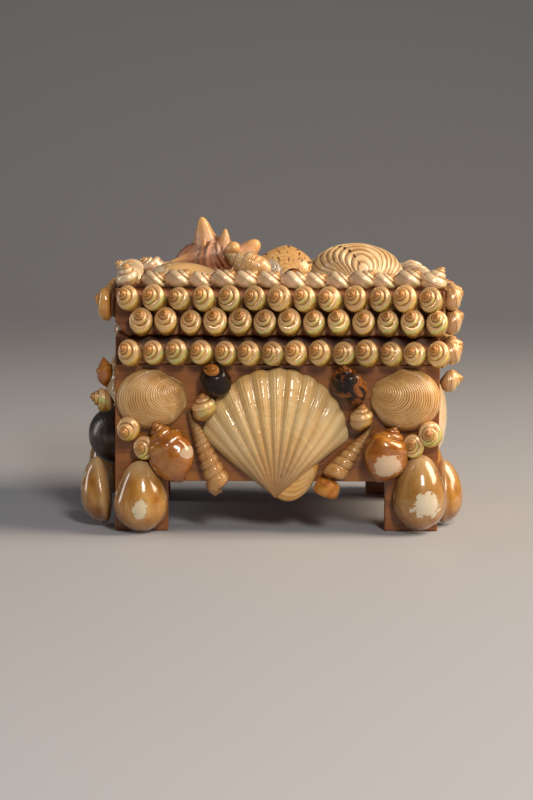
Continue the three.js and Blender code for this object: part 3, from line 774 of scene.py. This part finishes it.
def cowrie(width, height, rise, patch):
    """A cowrie with its wide end down. The patch is the place and half sizes of the worn part."""
    shell = bmesh.new()
    bmesh.ops.create_uvsphere(shell, u_segments=60, v_segments=40, radius=1)
    worn, band, level = [shell.verts.layers.float.new(name) for name in ("worn", "band", "level")]
    widest = 0.3 * rise
    for vert in shell.verts:
        across, out, along = vert.co
        off = hypot((across - patch[0]) / patch[2], (along - patch[1]) / patch[3])
        vert[worn] = 1 - off if out > 0 else -1
        vert[band] = out
        vert[level] = along
        egg = 0.97 - 0.29 * along + 0.17 * along ** 3
        rim = 0.016 * exp(-((out - 0.04) / 0.1) ** 2)
        lumps = 0.012 * noise.noise(Vector((across, out, along)) * 2.3)
        x = width / 2 * across * (egg + rim + lumps)
        y = height / 2 * along * (1 + rim)
        top = out * (rise - widest) * (1 - 0.2 * along) if out > 0 else out * (widest - GAP)
        vert.co = (x, y, widest + top)
    bmesh.ops.recalc_face_normals(shell, faces=shell.faces)
    return shell


def amber_finish(name, cream, toned=(0.5, 0.3, 0.1), share=0.0):
    """Amber glaze in soft bands, with painted shade in brown low down, tan at the narrow end, worn
    to cream.

    The glaze is toned by a share of another colour.
    """
    made, tree, sockets = finish_of(
        name, Roughness=0.22, Coat_Weight=0.9, Coat_Roughness=0.05,
    )
    body = colour_ramp(tree, speckle(tree, 90, 4, 0.55, 0.5, (1, 1, 0.6)), [
        (0.32, (0.22, 0.07, 0.008)), (0.45, (0.36, 0.145, 0.018)), (0.57, (0.46, 0.22, 0.04)),
        (0.72, (0.56, 0.33, 0.1)),
    ])
    body = mixed(tree, share, body, toned)
    level, rim = carried(tree, "level"), carried(tree, "band")
    # Painted shade: brown towards the wide, lower end.
    low = mixed(tree, spread(tree, level, -0.3, -1.0, 0.0, 0.55), body, (0.26, 0.07, 0.01))
    tanned = mixed(tree, spread(tree, level, 0.45, 1.0, 0.0, 0.7), low, (0.6, 0.44, 0.26))
    streaks = speckle(tree, 260, 4, 0.6, stretch=(1, 1, 0.25))
    streaked = mixed(tree, spread(tree, streaks, 0.45, 0.75, 0.0, 0.3), tanned, (0.72, 0.5, 0.24))
    rimmed = mixed(tree, spread(tree, rim, 0.0, 0.2, 0.4, 0.0), streaked, (0.72, 0.5, 0.25))
    jagged = spread(tree, speckle(tree, 150, 6, 0.66, 0.8), 0.0, 1.0, -1.3, 1.3)
    bare = spread(tree, maths(tree, "ADD", carried(tree, "worn"), jagged), 0.0, 0.06)
    patched = mixed(tree, bare, rimmed, cream)
    specks = spread(tree, speckle(tree, 420, 2, 0.5), 0.72, 0.74, 0.0, 0.7)
    tree.links.new(mixed(tree, specks, patched, (0.12, 0.07, 0.04)), sockets["Base Color"])
    under = relief(tree, sockets, bare, -0.00008)
    relief(tree, sockets, speckle(tree, 130, 3), 0.0003, under)
    return made


amber = amber_finish("amber_cowrie", (0.68, 0.58, 0.4))
pale_amber = amber_finish("pale_worn_cowrie", (0.66, 0.58, 0.43), (0.26, 0.14, 0.05), 0.4)
for side, name, x, y, width, height, rise, tilt, patch in (
    ("front", "front_left_cowrie", -63.9, 17.1, 24.6, 33, 16.4, 0, (0, -0.32, 0.24, 0.29)),
    ("front", "front_right_cowrie", 66.9, 19.2, 24.8, 35.2, 16.4, 0, (0.17, -0.24, 0.56, 0.32)),
    ("left", "left_front_cowrie", 44, 18, 24, 31.6, 14.8, 0.15, (0.3, 0.5, 0.2, 0.2)),
    ("left", "left_back_cowrie", -44, 18, 24, 31.6, 14.8, 0.15, (-0.1, -0.3, 0.4, 0.3)),
    ("right", "right_front_cowrie", -41, 16.4, 24, 30.5, 13.9, 0, (0.3, -0.1, 0.3, 0.5)),
    ("right", "right_back_cowrie", 41, 18, 24, 31.6, 13.9, 0, (0, -0.3, 0.5, 0.3)),
    ("back", "back_left_cowrie", -63, 17.6, 24.4, 33, 16.4, 0, (0, -0.2, 0.5, 0.4)),
    ("back", "back_right_cowrie", 63, 17.6, 24.4, 33, 16.4, 0, (0.2, -0.3, 0.3, 0.3)),
):
    at = (
        SIDES[side] @ Matrix.Translation((x, y - height / 2, 0)) @ Matrix.Rotation(tilt, 4, "X")
        @ Matrix.Translation((0, height / 2, 0))
    )
    glaze = pale_amber if name == "front_right_cowrie" else amber
    fixed(cowrie(width, height, rise, patch), at, name, [glaze])

# ======================================== Scallop valves
# A large scallop valve in the middle of the front with its beak down, one on the back and a
# smaller one on the left. Broad rounded ribs fan out, and growth has left faint steps.


def scallop(half_width, reach, rise, ribs):
    """A valve with its beak at the origin and its fan upwards."""
    half_spread, dome_at, to_centre = 0.9, 0.42, reach - half_width
    fan = bmesh.new()
    bmesh.ops.create_grid(fan, x_segments=ribs * 12, y_segments=72, size=1)
    ribbing = fan.loops.layers.uv.new("ribs")
    place = {}
    for vert in fan.verts:
        side, part = vert.co.x, (vert.co.y + 1) / 2
        place[vert] = (side, part)
        angle = half_spread * side
        chord = to_centre * sin(angle)
        far = to_centre * cos(angle) + sqrt(half_width ** 2 - chord ** 2)
        rib = 1 - (0.5 + 0.5 * cos(pi * ribs * (side + 1))) ** 1.8
        far *= 1 + 0.012 * (rib - 0.6) - 0.012 * noise.noise(Vector((side * 4, 0, 1)))
        hollow = 1 - 0.05 * sin(pi * min(1, part * 1.1)) * side ** 6
        radius = far * part * hollow
        if part < dome_at:
            dome = 0.3 + 0.7 * sin(pi / 2 * part / dome_at) ** 0.9
        else:
            dome = sqrt(max(0, 1 - ((part - dome_at) / 0.6) ** 2.3))
        flank = (1 - abs(side) ** 5) ** 0.7
        step = -0.22 * (part > 0.56) - 0.18 * (part > 0.8)
        tall = 0.95 * part ** 0.7 * (1 - 0.5 * side * side) * flank
        z = rise * 0.92 * dome * flank + (rib - 0.5) * tall + step * flank * 0.6
        z += 0.05 * sin(part * 95 + 2 * noise.noise(Vector((side * 3, part * 4, 0)))) * flank
        vert.co = (radius * sin(angle), radius * cos(angle), max(z, 0) + GAP)
    painted(fan.faces, ribbing, place.get)
    brought_down(fan)
    bmesh.ops.remove_doubles(fan, verts=fan.verts, dist=0.004)
    return closed(fan)


def streaks_on(tree, plan, stretch, scale, detail=3.0, roughness=0.5, start=0):
    """Noise stretched along or across a UV map."""
    moved = node(tree, "Mapping", {
        "Vector": plan, "Scale": (*stretch, 1), "Location": (start, 0, 0),
    }).outputs["Vector"]
    sockets = {"Vector": moved, "Scale": scale, "Detail": detail, "Roughness": roughness}
    return node(tree, "TexNoise", sockets).outputs["Fac"]


def ribbed_cream(name, ribs, warm, pale, groove):
    """Cream ribs on warm tan, paler to both sides, with browner grooves and red-brown specks."""
    made, tree, sockets = finish_of(
        name, Roughness=0.3, Coat_Weight=0.7, Coat_Roughness=0.07,
    )
    plan, side, part = on_map(tree, "ribs")
    clouds = speckle(tree, 70, 4, 0.55, 0.4)
    body = mixed(tree, spread(tree, clouds, 0.35, 0.65), warm, pale)
    golden = streaks_on(tree, plan, (9, 0.9), 2.0)
    body = mixed(tree, spread(tree, golden, 0.42, 0.66, 0.0, 0.6), body, (0.62, 0.34, 0.08))
    wide = maths(tree, "ABSOLUTE", side)
    paler = mixed(tree, spread(tree, wide, 0.4, 0.95, 0.0, 0.8), body, pale)
    turn = maths(tree, "MULTIPLY", maths(tree, "ADD", side, 1.0), ribs * pi)
    wave = maths(tree, "COSINE", turn)
    deep = maths(tree, "MULTIPLY", spread(tree, wave, 0.1, 1.0, 0.0, 0.6),
                 spread(tree, part, 0.95, 0.2, 0.35, 1.0))
    grooved = mixed(tree, deep, paler, groove)
    streaks = streaks_on(tree, plan, (26, 1.5), 2.2, 4.0)
    streaked = mixed(tree, spread(tree, streaks, 0.5, 0.75, 0.0, 0.5), grooved, warm)
    young = mixed(tree, spread(tree, part, 0.6, 0.1, 0.0, 0.8), streaked, (0.36, 0.17, 0.045))
    spots = maths(tree, "MULTIPLY", spread(tree, speckle(tree, 420, 2), 0.62, 0.66),
                  spread(tree, part, 0.3, 0.14))
    tree.links.new(mixed(tree, spots, young, (0.28, 0.07, 0.03)), sockets["Base Color"])
    under = relief(tree, sockets, streaks_on(tree, plan, (3, 60), 1.6), 0.00022)
    fine = maths(tree, "SINE", maths(tree, "MULTIPLY", side, ribs * 5 * pi))
    threads = relief(tree, sockets, maths(tree, "MULTIPLY", fine, part), 0.00006, under)
    relief(tree, sockets, speckle(tree, 600, 3), 0.00012, threads)
    return made


for side, name, x, y, half, reach, rise, ribs, finish_name, warm, pale, groove in (
    ("front", "front_scallop", -1, 15.9, 34.2, 61.2, 11.6, 13, "cream_ribs",
     (0.64, 0.4, 0.15), (0.76, 0.58, 0.31), (0.36, 0.16, 0.04)),
    ("back", "back_scallop", 0, 25, 31, 51, 10.5, 11, "cream_ribs_back",
     (0.64, 0.38, 0.15), (0.74, 0.56, 0.32), (0.42, 0.2, 0.06)),
    ("left", "left_valve", -10, 32, 26, 44, 7.5, 9, "cream_ribs_left",
     (0.66, 0.42, 0.17), (0.74, 0.58, 0.34), (0.42, 0.2, 0.06)),
):
    finish = ribbed_cream(finish_name, ribs, warm, pale, groove)
    fan = scallop(half, reach, rise, ribs)
    fixed(fan, SIDES[side] @ Matrix.Translation((x, y, 0)), name, [finish])

# ======================================== Clam valves
# Oval clam valves with fine ridges round the beak, tan and only lightly varnished. One on each
# side of the scallop, two on the back, and a smooth pale one in the middle of the right side.


def valve(width, height, beak, rise, ridges, tall, rows_a_ridge=4, columns=80, flat=2.2,
          crest=0.6, inset=0.93):
    """A domed oval whose growth ridges run round its beak, `beak` radians from +y."""
    shell = bmesh.new()
    rows = ridges * rows_a_ridge
    bmesh.ops.create_grid(shell, x_segments=columns, y_segments=rows, size=1)
    growth_map = shell.loops.layers.uv.new("growth")

    def rim(angle):
        off = atan2(sin(angle - beak), cos(angle - beak))
        low = 0.05 if off * sin(beak) > 0 else -0.08
        swell = 0.06 * exp(-((off / 0.22) ** 2)) + low * exp(-(((abs(off) - 0.6) / 0.28) ** 2))
        return Vector((width / 2 * sin(angle), height / 2 * cos(angle))) * (1 + swell)

    umbo = rim(beak) * inset
    place = {}
    for vert in shell.verts:
        angle, size = pi * (1 + vert.co.x) + beak, (vert.co.y + 1) / 2
        place[vert] = (vert.co.x, size)
        point = umbo + (rim(angle) - umbo) * size
        off = atan2(point.x / width, point.y / height)
        reach = point.length / rim(off).length
        dome = (1 - min(1, reach) ** flat) ** crest
        edge = min(1, (1 - size) * 14)
        worn = 0.6 + 0.4 * noise.noise(Vector((point.x, point.y, 3)) * 0.12)
        wander = 0.5 * noise.noise(Vector((vert.co.x * 2, size * 5, 0)))
        wave = abs(sin(pi * ridges * size + wander))
        ridge = tall * (wave - 0.5) * worn * edge * min(1, size * 6)
        vert.co = (point.x, point.y, GAP + max(0, rise * dome + ridge))
    painted(shell.faces, growth_map, place.get)
    bmesh.ops.remove_doubles(shell, verts=shell.verts, dist=0.004)
    return closed(shell)


def ridged_finish(name, stops, groove, ridges, gloss=0.4, coat=0.35, pits=0.0, rays=None,
                  ray_at=None):
    """Tan shell, browner in the grooves between its ridges, with pale and dark patches.

    It can have dark rays in places, or a single broken one at a place round the beak.
    """
    made, tree, sockets = finish_of(
        name, Roughness=gloss, Coat_Weight=coat, Coat_Roughness=0.12,
    )
    plan, around, size = on_map(tree, "growth")
    clouds = speckle(tree, 85, 5, 0.55, 0.4)
    wave = maths(tree, "COSINE", maths(tree, "MULTIPLY", size, ridges * 2 * pi))
    deep = maths(tree, "MULTIPLY", spread(tree, wave, 0.1, 1.0, 0.0, 0.9),
                 spread(tree, clouds, 0.7, 0.4, 0.5, 1.0))
    lined = mixed(tree, deep, colour_ramp(tree, clouds, stops), groove)
    bands = streaks_on(tree, plan, (0.6, 14), 1.3)
    coloured = mixed(tree, spread(tree, bands, 0.52, 0.72, 0.0, 0.5), lined, stops[-1][1])
    if rays:
        colour, amount, count, start = rays
        spokes = streaks_on(tree, plan, (count, 2.5), 1.5, roughness=0.6, start=start)
        dark = spread(tree, spokes, amount, amount + 0.05, 0.0, 0.9)
        coloured = mixed(tree, dark, coloured, colour)
    if ray_at is not None:
        off = maths(tree, "ABSOLUTE", maths(tree, "SUBTRACT", around, ray_at))
        ray = maths(tree, "MULTIPLY", spread(tree, off, 0.035, 0.02), spread(tree, wave, -0.6, 0.2))
        coloured = mixed(tree, ray, coloured, (0.03, 0.012, 0.01))
    if pits:
        holes = spread(tree, speckle(tree, 520, 2), pits, pits + 0.02, 0.0, 0.85)
        coloured = mixed(tree, holes, coloured, (0.13, 0.06, 0.025))
    tree.links.new(coloured, sockets["Base Color"])
    relief(tree, sockets, speckle(tree, 600, 4), 0.0001)
    return made


CLAM_RIDGES = 27
tan_ridges = ridged_finish("tan_ridges", [
    (0.3, (0.5, 0.26, 0.075)), (0.48, (0.62, 0.35, 0.12)), (0.62, (0.7, 0.43, 0.17)),
    (0.78, (0.8, 0.58, 0.33)),
], (0.14, 0.045, 0.008), CLAM_RIDGES, pits=0.74)
for side, name, x, y, width, height, beak, rise in (
    ("front", "front_left_clam", -59.4, 62.2, 32.4, 29.2, 1.13, 10.5),
    ("front", "front_right_clam", 60.4, 62.4, 32.4, 30, -1.15, 10.5),
    ("back", "back_left_clam", -56, 60, 32, 29, 1.1, 10),
    ("back", "back_right_clam", 56, 60, 32, 29, -1.1, 10),
):
    clam = valve(width, height, beak, rise, CLAM_RIDGES, 0.5)
    fixed(clam, SIDES[side] @ Matrix.Translation((x, y, 0)), name, [tan_ridges])

pale_smooth = ridged_finish("pale_smooth", [
    (0.3, (0.66, 0.44, 0.24)), (0.5, (0.76, 0.58, 0.36)), (0.7, (0.82, 0.68, 0.48)),
], (0.55, 0.34, 0.15), 12, 0.3, 0.6)
at = SIDES["right"] @ Matrix.Translation((0, 48.5, 0))
fixed(valve(50, 44, 3, 9.8, 12, 0.12, 5), at, "right_valve", [pale_smooth])

# A thin pale valve peeps out behind the scallop's beak, its rim amber with varnish.

rear_finish = ridged_finish("pale_rear_valve", [
    (0.3, (0.6, 0.27, 0.045)), (0.5, (0.68, 0.38, 0.09)), (0.7, (0.76, 0.54, 0.26)),
], (0.5, 0.2, 0.035), 10, 0.3, 0.7)
rear_valve = valve(27, 28, 0.6, 3.4, 10, 0.1, 3, 56, 4, 0.5)
for vert in rear_valve.verts:
    vert.co.x *= 1 + 0.2 * vert.co.y / 14
at = SIDES["front"] @ Matrix.Translation((5.2, 27.8, 0))
fixed(rear_valve, at, "front_rear_valve", [rear_finish])

# ======================================== Mussel
# A dark mussel valve on the left side, nearly black, with fine upright streaks.

mussel_finish, mussel_tree, mussel_sockets = finish_of(
    "dark_mussel", Roughness=0.33, Coat_Weight=0.35, Coat_Roughness=0.15,
)
mussel_streaks = speckle(mussel_tree, 420, 5, 0.6, 0.3, (1, 1, 0.15))
mussel_colour = colour_ramp(mussel_tree, mussel_streaks, [
    (0.35, (0.014, 0.009, 0.008)), (0.55, (0.04, 0.025, 0.018)), (0.72, (0.13, 0.08, 0.055)),
])
mussel_tree.links.new(mussel_colour, mussel_sockets["Base Color"])
relief(mussel_tree, mussel_sockets, mussel_streaks, 0.00015)
at = SIDES["left"] @ Matrix.Translation((30, 42, 0))
fixed(valve(30, 28, 2.6, 13.4, 20, 0.14), at, "left_mussel", [mussel_finish])

# ======================================== Nerites
# Two globular nerites at the scallop's top corners: a glossy black one with a brown tip, and
# one mottled in brown and black.


def nerite(width, tall, deep):
    """A globe of two or three quick-growing whorls with a low tip at its top."""
    base = [(6.9, 7.2), (7.0, 9), (6.2, 11), (4.4, 12.6), (2.2, 13.5), (0, 13.8)]
    globe = fitted(coiled(whorl_arc(5.6, 5.4, 2.0, 1.1, 10), base, 2.0, 4, 40), width, deep, tall)
    bmesh.ops.translate(globe, vec=(0, 0, -tall / 2), verts=globe.verts)
    return globe


def glossy(name, stops, scale, tip=None):
    """Glossy shell in blotches, of another colour near its tip."""
    made, tree, sockets = finish_of(
        name, Roughness=0.4, Specular_IOR_Level=0.15, Coat_Weight=0.4, Coat_Roughness=0.05,
        Coat_IOR=1.45,
    )
    colour = colour_ramp(tree, speckle(tree, scale, 5, 0.6, 1.2), stops)
    if tip:
        turn = on_map(tree, "whorl")[1]
        colour = mixed(tree, spread(tree, turn, 0.75, 1.0), colour, tip)
    tree.links.new(colour, sockets["Base Color"])
    relief(tree, sockets, speckle(tree, 260, 4), 0.00014)
    return made


def pressed(shell, side, at, name, finish):
    """A single shell pressed against a side of the box at its place."""
    piece = bmesh.new()
    set_into(piece, kept(shell), at)
    fixed(piece, SIDES[side], name, [finish])


black_gloss = glossy("black_gloss", [
    (0.3, (0.004, 0.002, 0.002)), (0.6, (0.012, 0.005, 0.003)), (0.8, (0.05, 0.018, 0.006)),
], 160, (0.3, 0.11, 0.02))
brown_gloss = glossy("brown_gloss", [
    (0.36, (0.01, 0.006, 0.005)), (0.47, (0.02, 0.01, 0.008)), (0.5, (0.16, 0.045, 0.01)),
    (0.62, (0.3, 0.11, 0.02)), (0.8, (0.4, 0.19, 0.06)),
], 130)
for name, x, y, width, tall, deep, lean, aside, finish, slot in (
    ("front_left_nerite", -29.2, 72, 15, 18.2, 14, 0.7, 0.15, black_gloss, "black"),
    ("front_right_nerite", 33, 69.8, 16.9, 21, 14, 0.35, 0.2, brown_gloss, "brown"),
):
    at = (
        Matrix.Translation((x, y, deep / 2)) @ Matrix.Rotation(aside, 4, "Z")
        @ Matrix.Rotation(lean - pi / 2, 4, "X") @ Matrix.Rotation(2.6, 4, "Z")
    )
    pressed(nerite(width, tall, deep), "front", at, name, finish)

# ======================================== Turrets
# Two long turret shells of many whorls that point down and in towards the scallop's beak, tan
# with fine spiral cords. The left one's mouth is broken to a jagged edge, and a smooth brown
# stub closes the right one's.

turret_finish = worn_shell("tan_turret", [
    (0.3, (0.5, 0.22, 0.06)), (0.5, (0.62, 0.34, 0.12)), (0.7, (0.7, 0.46, 0.22)),
], (0.3, 0.1, 0.025), 0.3, 0.6, 6, 0.00012)


def turret(radius, length, growth, turns, bulge, slim):
    """A tall spire whose radius grows as a power of the distance from its tip."""

    def profile(point, turn, across, size):
        share = max(0.02, -point.z / length)
        point.x *= share ** (slim - 1)
        point.y *= share ** (slim - 1)

    arc = whorl_arc(radius, length * 0.97, growth, bulge, 12, 6, 0.06)
    base = [(radius * 0.8, length * 0.995), (0, length)]
    return coiled(arc, base, growth, turns, 28, profile, 0.01)


LEFT_LENGTH, RIGHT_LENGTH = 44, 35.5
BROKEN, PLUG_RADIUS, PLUG_HALF = 3.5, 5.65, 4
left_turret = turret(5.5, LEFT_LENGTH, 1.155, 20, 0.85, 0.76)
for vert in left_turret.verts:
    below = BROKEN - LEFT_LENGTH - vert.co.z
    if below > 0:
        jag = noise.noise(Vector((atan2(vert.co.y, vert.co.x) * 2.2, 0, 5)))
        vert.co.z += 3.2 * (jag + 0.1) * min(1, below / 1.5)
right_turret = turret(5.1, RIGHT_LENGTH, 1.2, 14, 0.9, 0.9)
plug_finish = glossy("plug_gloss", [
    (0.36, (0.3, 0.09, 0.012)), (0.5, (0.46, 0.18, 0.03)), (0.66, (0.56, 0.27, 0.07)),
], 120)
plug = bmesh.new()
bmesh.ops.create_uvsphere(plug, u_segments=32, v_segments=24, radius=1)
for vert in plug.verts:
    level = vert.co.z
    around = vert.co.xy.normalized() if abs(level) < 0.999 else vert.co.xy
    radius = PLUG_RADIUS * (1 - abs(level) ** 4) ** 0.3 * (1 - 0.05 * level)
    vert.co = (around.x * radius, around.y * radius, level * PLUG_HALF)
plug_mesh = kept(plug)
for name, shell, base, tip, z_base, z_tip, length in (
    ("front_left_turret", left_turret, (-25.4, 18.2), (-42.8, 59.6), 5.4, 2.6, LEFT_LENGTH),
    ("front_right_turret", right_turret, (24.6, 24.8), (46.4, 52.6), 5.8, 2.6, RIGHT_LENGTH),
):
    piece = bmesh.new()
    bmesh.ops.translate(shell, vec=(0, 0, length), verts=shell.verts)
    set_into(piece, kept(shell), laid(base, tip, z_base, z_tip, 2.0, length))
    if name == "front_right_turret":
        at = laid((23.2, 21.2), (24.6, 25), 5.8, 5.8, 0, 3.8)
        set_into(piece, plug_mesh, at, material=1)
    fixed(piece, SIDES["front"], name, [turret_finish, plug_finish])

# ======================================== Whelks
# An orange whelk on each side of the front with a patch worn to pink cream, knobby on the left
# and round and plain on the right, and a small knobby one on the left side.


def whelk(growth, turns, radius, depth, bulge, base, sizes, knobs=0, tall=0.0):
    """A spire over a big body whorl, with knobs on the shoulder of each whorl."""

    def knobbed(point, turn, across, size):
        if knobs and 0 < across < 1.3:
            wave = max(0, sin(2 * pi * knobs * turn)) ** 2
            lump = tall * size * wave * exp(-((across - 0.75) / 0.25) ** 2)
            outward = Vector((point.x, point.y, 0)).normalized()
            point += (outward + Vector((0, 0, 0.4))) * lump

    arc = whorl_arc(radius, depth, growth, bulge, 10)
    return fitted(coiled(arc, base, growth, turns, 48, knobbed), *sizes)


ORANGE_STOPS = [
    (0.3, (0.21, 0.055, 0.006)), (0.5, (0.37, 0.13, 0.014)), (0.7, (0.5, 0.24, 0.05)),
]
ORANGE_LINES, PINK_CREAM = (0.26, 0.07, 0.012), (0.56, 0.4, 0.27)
FULL_BASE = [(11.2, 15.6), (11.8, 18.6), (11.4, 22), (9.8, 25.4), (7.2, 28), (4, 29.6), (0, 30.2)]
SMALL_BASE = [(5.4, 10), (5.2, 12), (4, 14), (2, 15.5), (0, 16)]
left_shell = whelk(1.7, 5, 9.6, 13.5, 1.5, FULL_BASE, (17, 21.4, 30), 7, 0.9)
right_shell = whelk(1.9, 5, 10.6, 12.4, 1.8, FULL_BASE, (16.4, 22, 27.4))
small_shell = whelk(1.6, 6, 5, 8.5, 1, SMALL_BASE, (9, 8.4, 15.4), 8, 0.6)
for side, name, finish_name, shell, at, patches in (
    ("front", "front_left_whelk", "left_whelk", left_shell,
     laid((-43.2, 24.6), (-58.2, 51.8), 7.2, 9.2, 1.7, 30),
     [(PINK_CREAM, (-42, 39, 3.5, 2.8, 0.7))]),
    ("front", "front_right_whelk", "right_whelk", right_shell,
     laid((46.6, 24.2), (55.4, 50.4), 7.4, 8, 1.6, 27.4),
     [(PINK_CREAM, (50.9, 33, 7.4, 4.8, 1.6))]),
    ("left", "left_whelk", "orange_whelk", small_shell,
     laid((50, 66.6), (51.4, 81), 4.2, 6.4, 1, 15.4), []),
):
    finish = worn_shell(finish_name, ORANGE_STOPS, ORANGE_LINES, 0.2, 0.9, patches=patches)
    pressed(shell, side, at, name, finish)

# ======================================== Conch on the lid
# A knobbed conch with its spire to the front right and its wide end broken off blunt, brown
# with a flush of pink, its knobs worn to orange tan.

CONCH_END, CONCH_TIP = Vector((-49, 15, 5.5)), Vector((-13, 1, 14))
CONCH_BASE = [(10.8, 28), (10.6, 31), (10.2, 34), (9.4, 37), (7.5, 39.2), (0, 40)]
# A knob is its root, its tip, its radius and the share of that added at its root.
KNOBS = [
    ((-31.6, 9, 10), (-36, 8, 31), 3.2, 2.5), ((-35, 4, 12), (-51.5, 1, 8.4), 1.7, 2),
    ((-25.4, 5, 12), (-24, 4, 25.4), 1.7, 3.2), ((-21, -2, 14), (-19.4, -8.4, 18), 3.2, 0.2),
    ((-16.6, 3, 11), (-7.6, 4, 19.8), 3.6, 0.9), ((-34, 3, 12), (-34.6, 1, 20.8), 0.8, 4.4),
]
conch_finish = worn_shell("brown_conch", [
    (0.3, (0.24, 0.09, 0.035)), (0.45, (0.42, 0.19, 0.1)), (0.58, (0.54, 0.3, 0.2)),
    (0.72, (0.66, 0.45, 0.33)),
], (0.16, 0.05, 0.025), 0.42, 0.35, 2.5, 0.0005)
conch_tree = conch_finish.node_tree
conch_colour = conch_tree.nodes["Principled BSDF"].inputs["Base Color"]
knob_share = spread(conch_tree, carried(conch_tree, "knob"), 0.4, 0.95, 0.0, 0.9)
brown = conch_colour.links[0].from_socket
conch_tree.links.new(mixed(conch_tree, knob_share, brown, (0.74, 0.42, 0.15)), conch_colour)

conch = whelk(1.5, 5, 10.6, 25, 1.8, CONCH_BASE, (24, 22, 40), 5, 1.4)
bmesh.ops.subdivide_edges(conch, edges=conch.edges, cuts=1, use_grid_fill=True, smooth=0.6)
conch.normal_update()
for vert in conch.verts:
    vert.co += vert.normal * (0.6 * noise.noise(vert.co * 0.3) + 0.25 * noise.noise(vert.co))
piece = bmesh.new()
at = laid(CONCH_END.xy, CONCH_TIP.xy, CONCH_END.z, CONCH_TIP.z, 2.0, (CONCH_TIP - CONCH_END).length)
set_into(piece, kept(conch), at)
reached = piece.verts.layers.float.new("knob")
for root, tip, radius, widening in KNOBS:
    start, end = Vector(root), Vector(tip)
    length = (end - start).length
    knob = bmesh.new()
    bmesh.ops.create_uvsphere(knob, u_segments=28, v_segments=28, radius=1)
    # Clear of the sutures, which the finish draws at a whorl's two edges.
    painted(knob.faces, knob.loops.layers.uv.new("whorl"), lambda vert: (1, 0.5))
    for vert in knob.verts:
        share = (vert.co.z + 1) / 2
        flare = radius * (1 + widening * (1 - share) ** 1.6)
        bend = 0.5 * noise.noise(Vector((share * 3, radius, start.x)))
        around = atan2(vert.co.y, vert.co.x)
        turn = Vector((cos(around), sin(around)))
        folds = 1 + 0.09 * noise.noise(Vector((*(turn * 2), share * 2 + radius)))
        width = flare * folds * sqrt(1 - share ** 6)
        at_pole = abs(vert.co.z) > 0.999
        x, y = (0, 0) if at_pole else (turn.x * width + bend, turn.y * width)
        vert.co = (x, y, share * length)
    old = len(piece.verts)
    set_into(piece, kept(knob), laid(start.xy, end.xy, start.z, end.z, 0, length))
    piece.verts.ensure_lookup_table()
    for vert in piece.verts[old:]:
        vert[reached] = (vert.co - start).length / length
fixed(piece, SIDES["top"], "lid_conch", [conch_finish])

# ======================================== Small shells on the lid
# In front of the conch: a yellow cowrie on its side, a corded whelk with its tip to the left, a
# striped grey nerite and a small black one.

yellow = amber_finish("yellow_cowrie", (0.8, 0.64, 0.42), (0.74, 0.52, 0.26), 0.6)
at = SIDES["top"] @ Matrix.Translation((-43.7, -27, 0)) @ Matrix.Rotation(-pi / 2, 4, "Z")
fixed(cowrie(23, 33.6, 10.6, (0.1, -0.95, 1.2, 0.45)), at, "lid_cowrie", [yellow])

corded = worn_shell("corded_tan", [
    (0.35, (0.6, 0.32, 0.1)), (0.5, (0.76, 0.5, 0.24)), (0.66, (0.86, 0.66, 0.42)),
], (0.46, 0.2, 0.055), 0.32, 0.5, 7, 0.00018)
CORDED_BASE = [(6.8, 17.4), (6.4, 20), (4.8, 23), (0, 25)]
corded_shell = whelk(1.6, 6, 6.4, 15, 1.5, CORDED_BASE, (13.6, 12.8, 25))
at = (
    Matrix.Translation((-2.6, -38.6, 4.6)) @ Matrix.Rotation(1.35, 4, "Z")
    @ Matrix.Rotation(0.45 - pi / 2, 4, "X") @ Matrix.Rotation(1.2, 4, "Z")
)
pressed(corded_shell, "top", at, "lid_whelk", corded)

striped_grey = worn_shell("striped_grey", [
    (0.35, (0.34, 0.28, 0.24)), (0.5, (0.5, 0.42, 0.34)), (0.68, (0.74, 0.66, 0.54)),
], (0.14, 0.1, 0.08), 0.25, 0.8, 3, 0.00005)
for name, x, y, width, tall, deep, finish, slot in (
    ("lid_nerite", -3.4, -26.2, 13, 12, 12.4, striped_grey, "pale"),
    ("lid_black_shell", 8, -27, 9.2, 7.8, 9, black_gloss, "black"),
):
    at = Matrix.Translation((x, y, tall / 2)) @ Matrix.Rotation(0.9, 4, "X")
    pressed(nerite(width, tall, deep), "top", at, name, finish)

# ======================================== Valves propped on the lid
# Two clam valves that stand on their front edges with their domes to the front: a small tan one
# with dark streaks, and a large one with strong ridges, a broken dark ray and small dark pits.

spotted_finish = ridged_finish("streaked_tan", [
    (0.3, (0.56, 0.3, 0.1)), (0.5, (0.66, 0.4, 0.16)), (0.7, (0.72, 0.48, 0.22)),
], (0.5, 0.25, 0.08), 10, 0.35, 0.5, rays=((0.07, 0.02, 0.01), 0.56, 11, 0.4))
spotted = valve(27, 24, pi, 6, 10, 0.12, 5)
for vert in spotted.verts:
    if vert.co.y > 0:
        vert.co.y *= 1.1 - 0.3 * abs(vert.co.x - 1.5) / 13.5
at = SIDES["top"] @ Matrix.Translation((5.2, -4, 8)) @ Matrix.Rotation(0.72, 4, "X")
fixed(spotted, at, "lid_spotted_valve", [spotted_finish])

STRIPED_RIDGES = 9
striped_finish = ridged_finish("ridged_cream", [
    (0.3, (0.6, 0.36, 0.15)), (0.48, (0.7, 0.48, 0.24)), (0.65, (0.78, 0.6, 0.36)),
    (0.8, (0.84, 0.7, 0.48)),
], (0.2, 0.06, 0.014), STRIPED_RIDGES, 0.36, 0.5, pits=0.72, ray_at=-0.2)
striped = valve(47.6, 38, pi - 0.1, 14.6, STRIPED_RIDGES, 1.5, 9, 90, inset=0.95)
at = SIDES["top"] @ Matrix.Translation((40.4, 2, 3.4)) @ Matrix.Rotation(0.16, 4, "X")
fixed(striped, at, "lid_striped_clam", [striped_finish])

# ======================================== Sizes
# The box of the shells and boards as shown, beside the box of the solids they stand for.

shown_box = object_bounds()
corners = {"cad": [list(corner) for corner in cad_box],
           "visual": [list(corner) for corner in shown_box]}
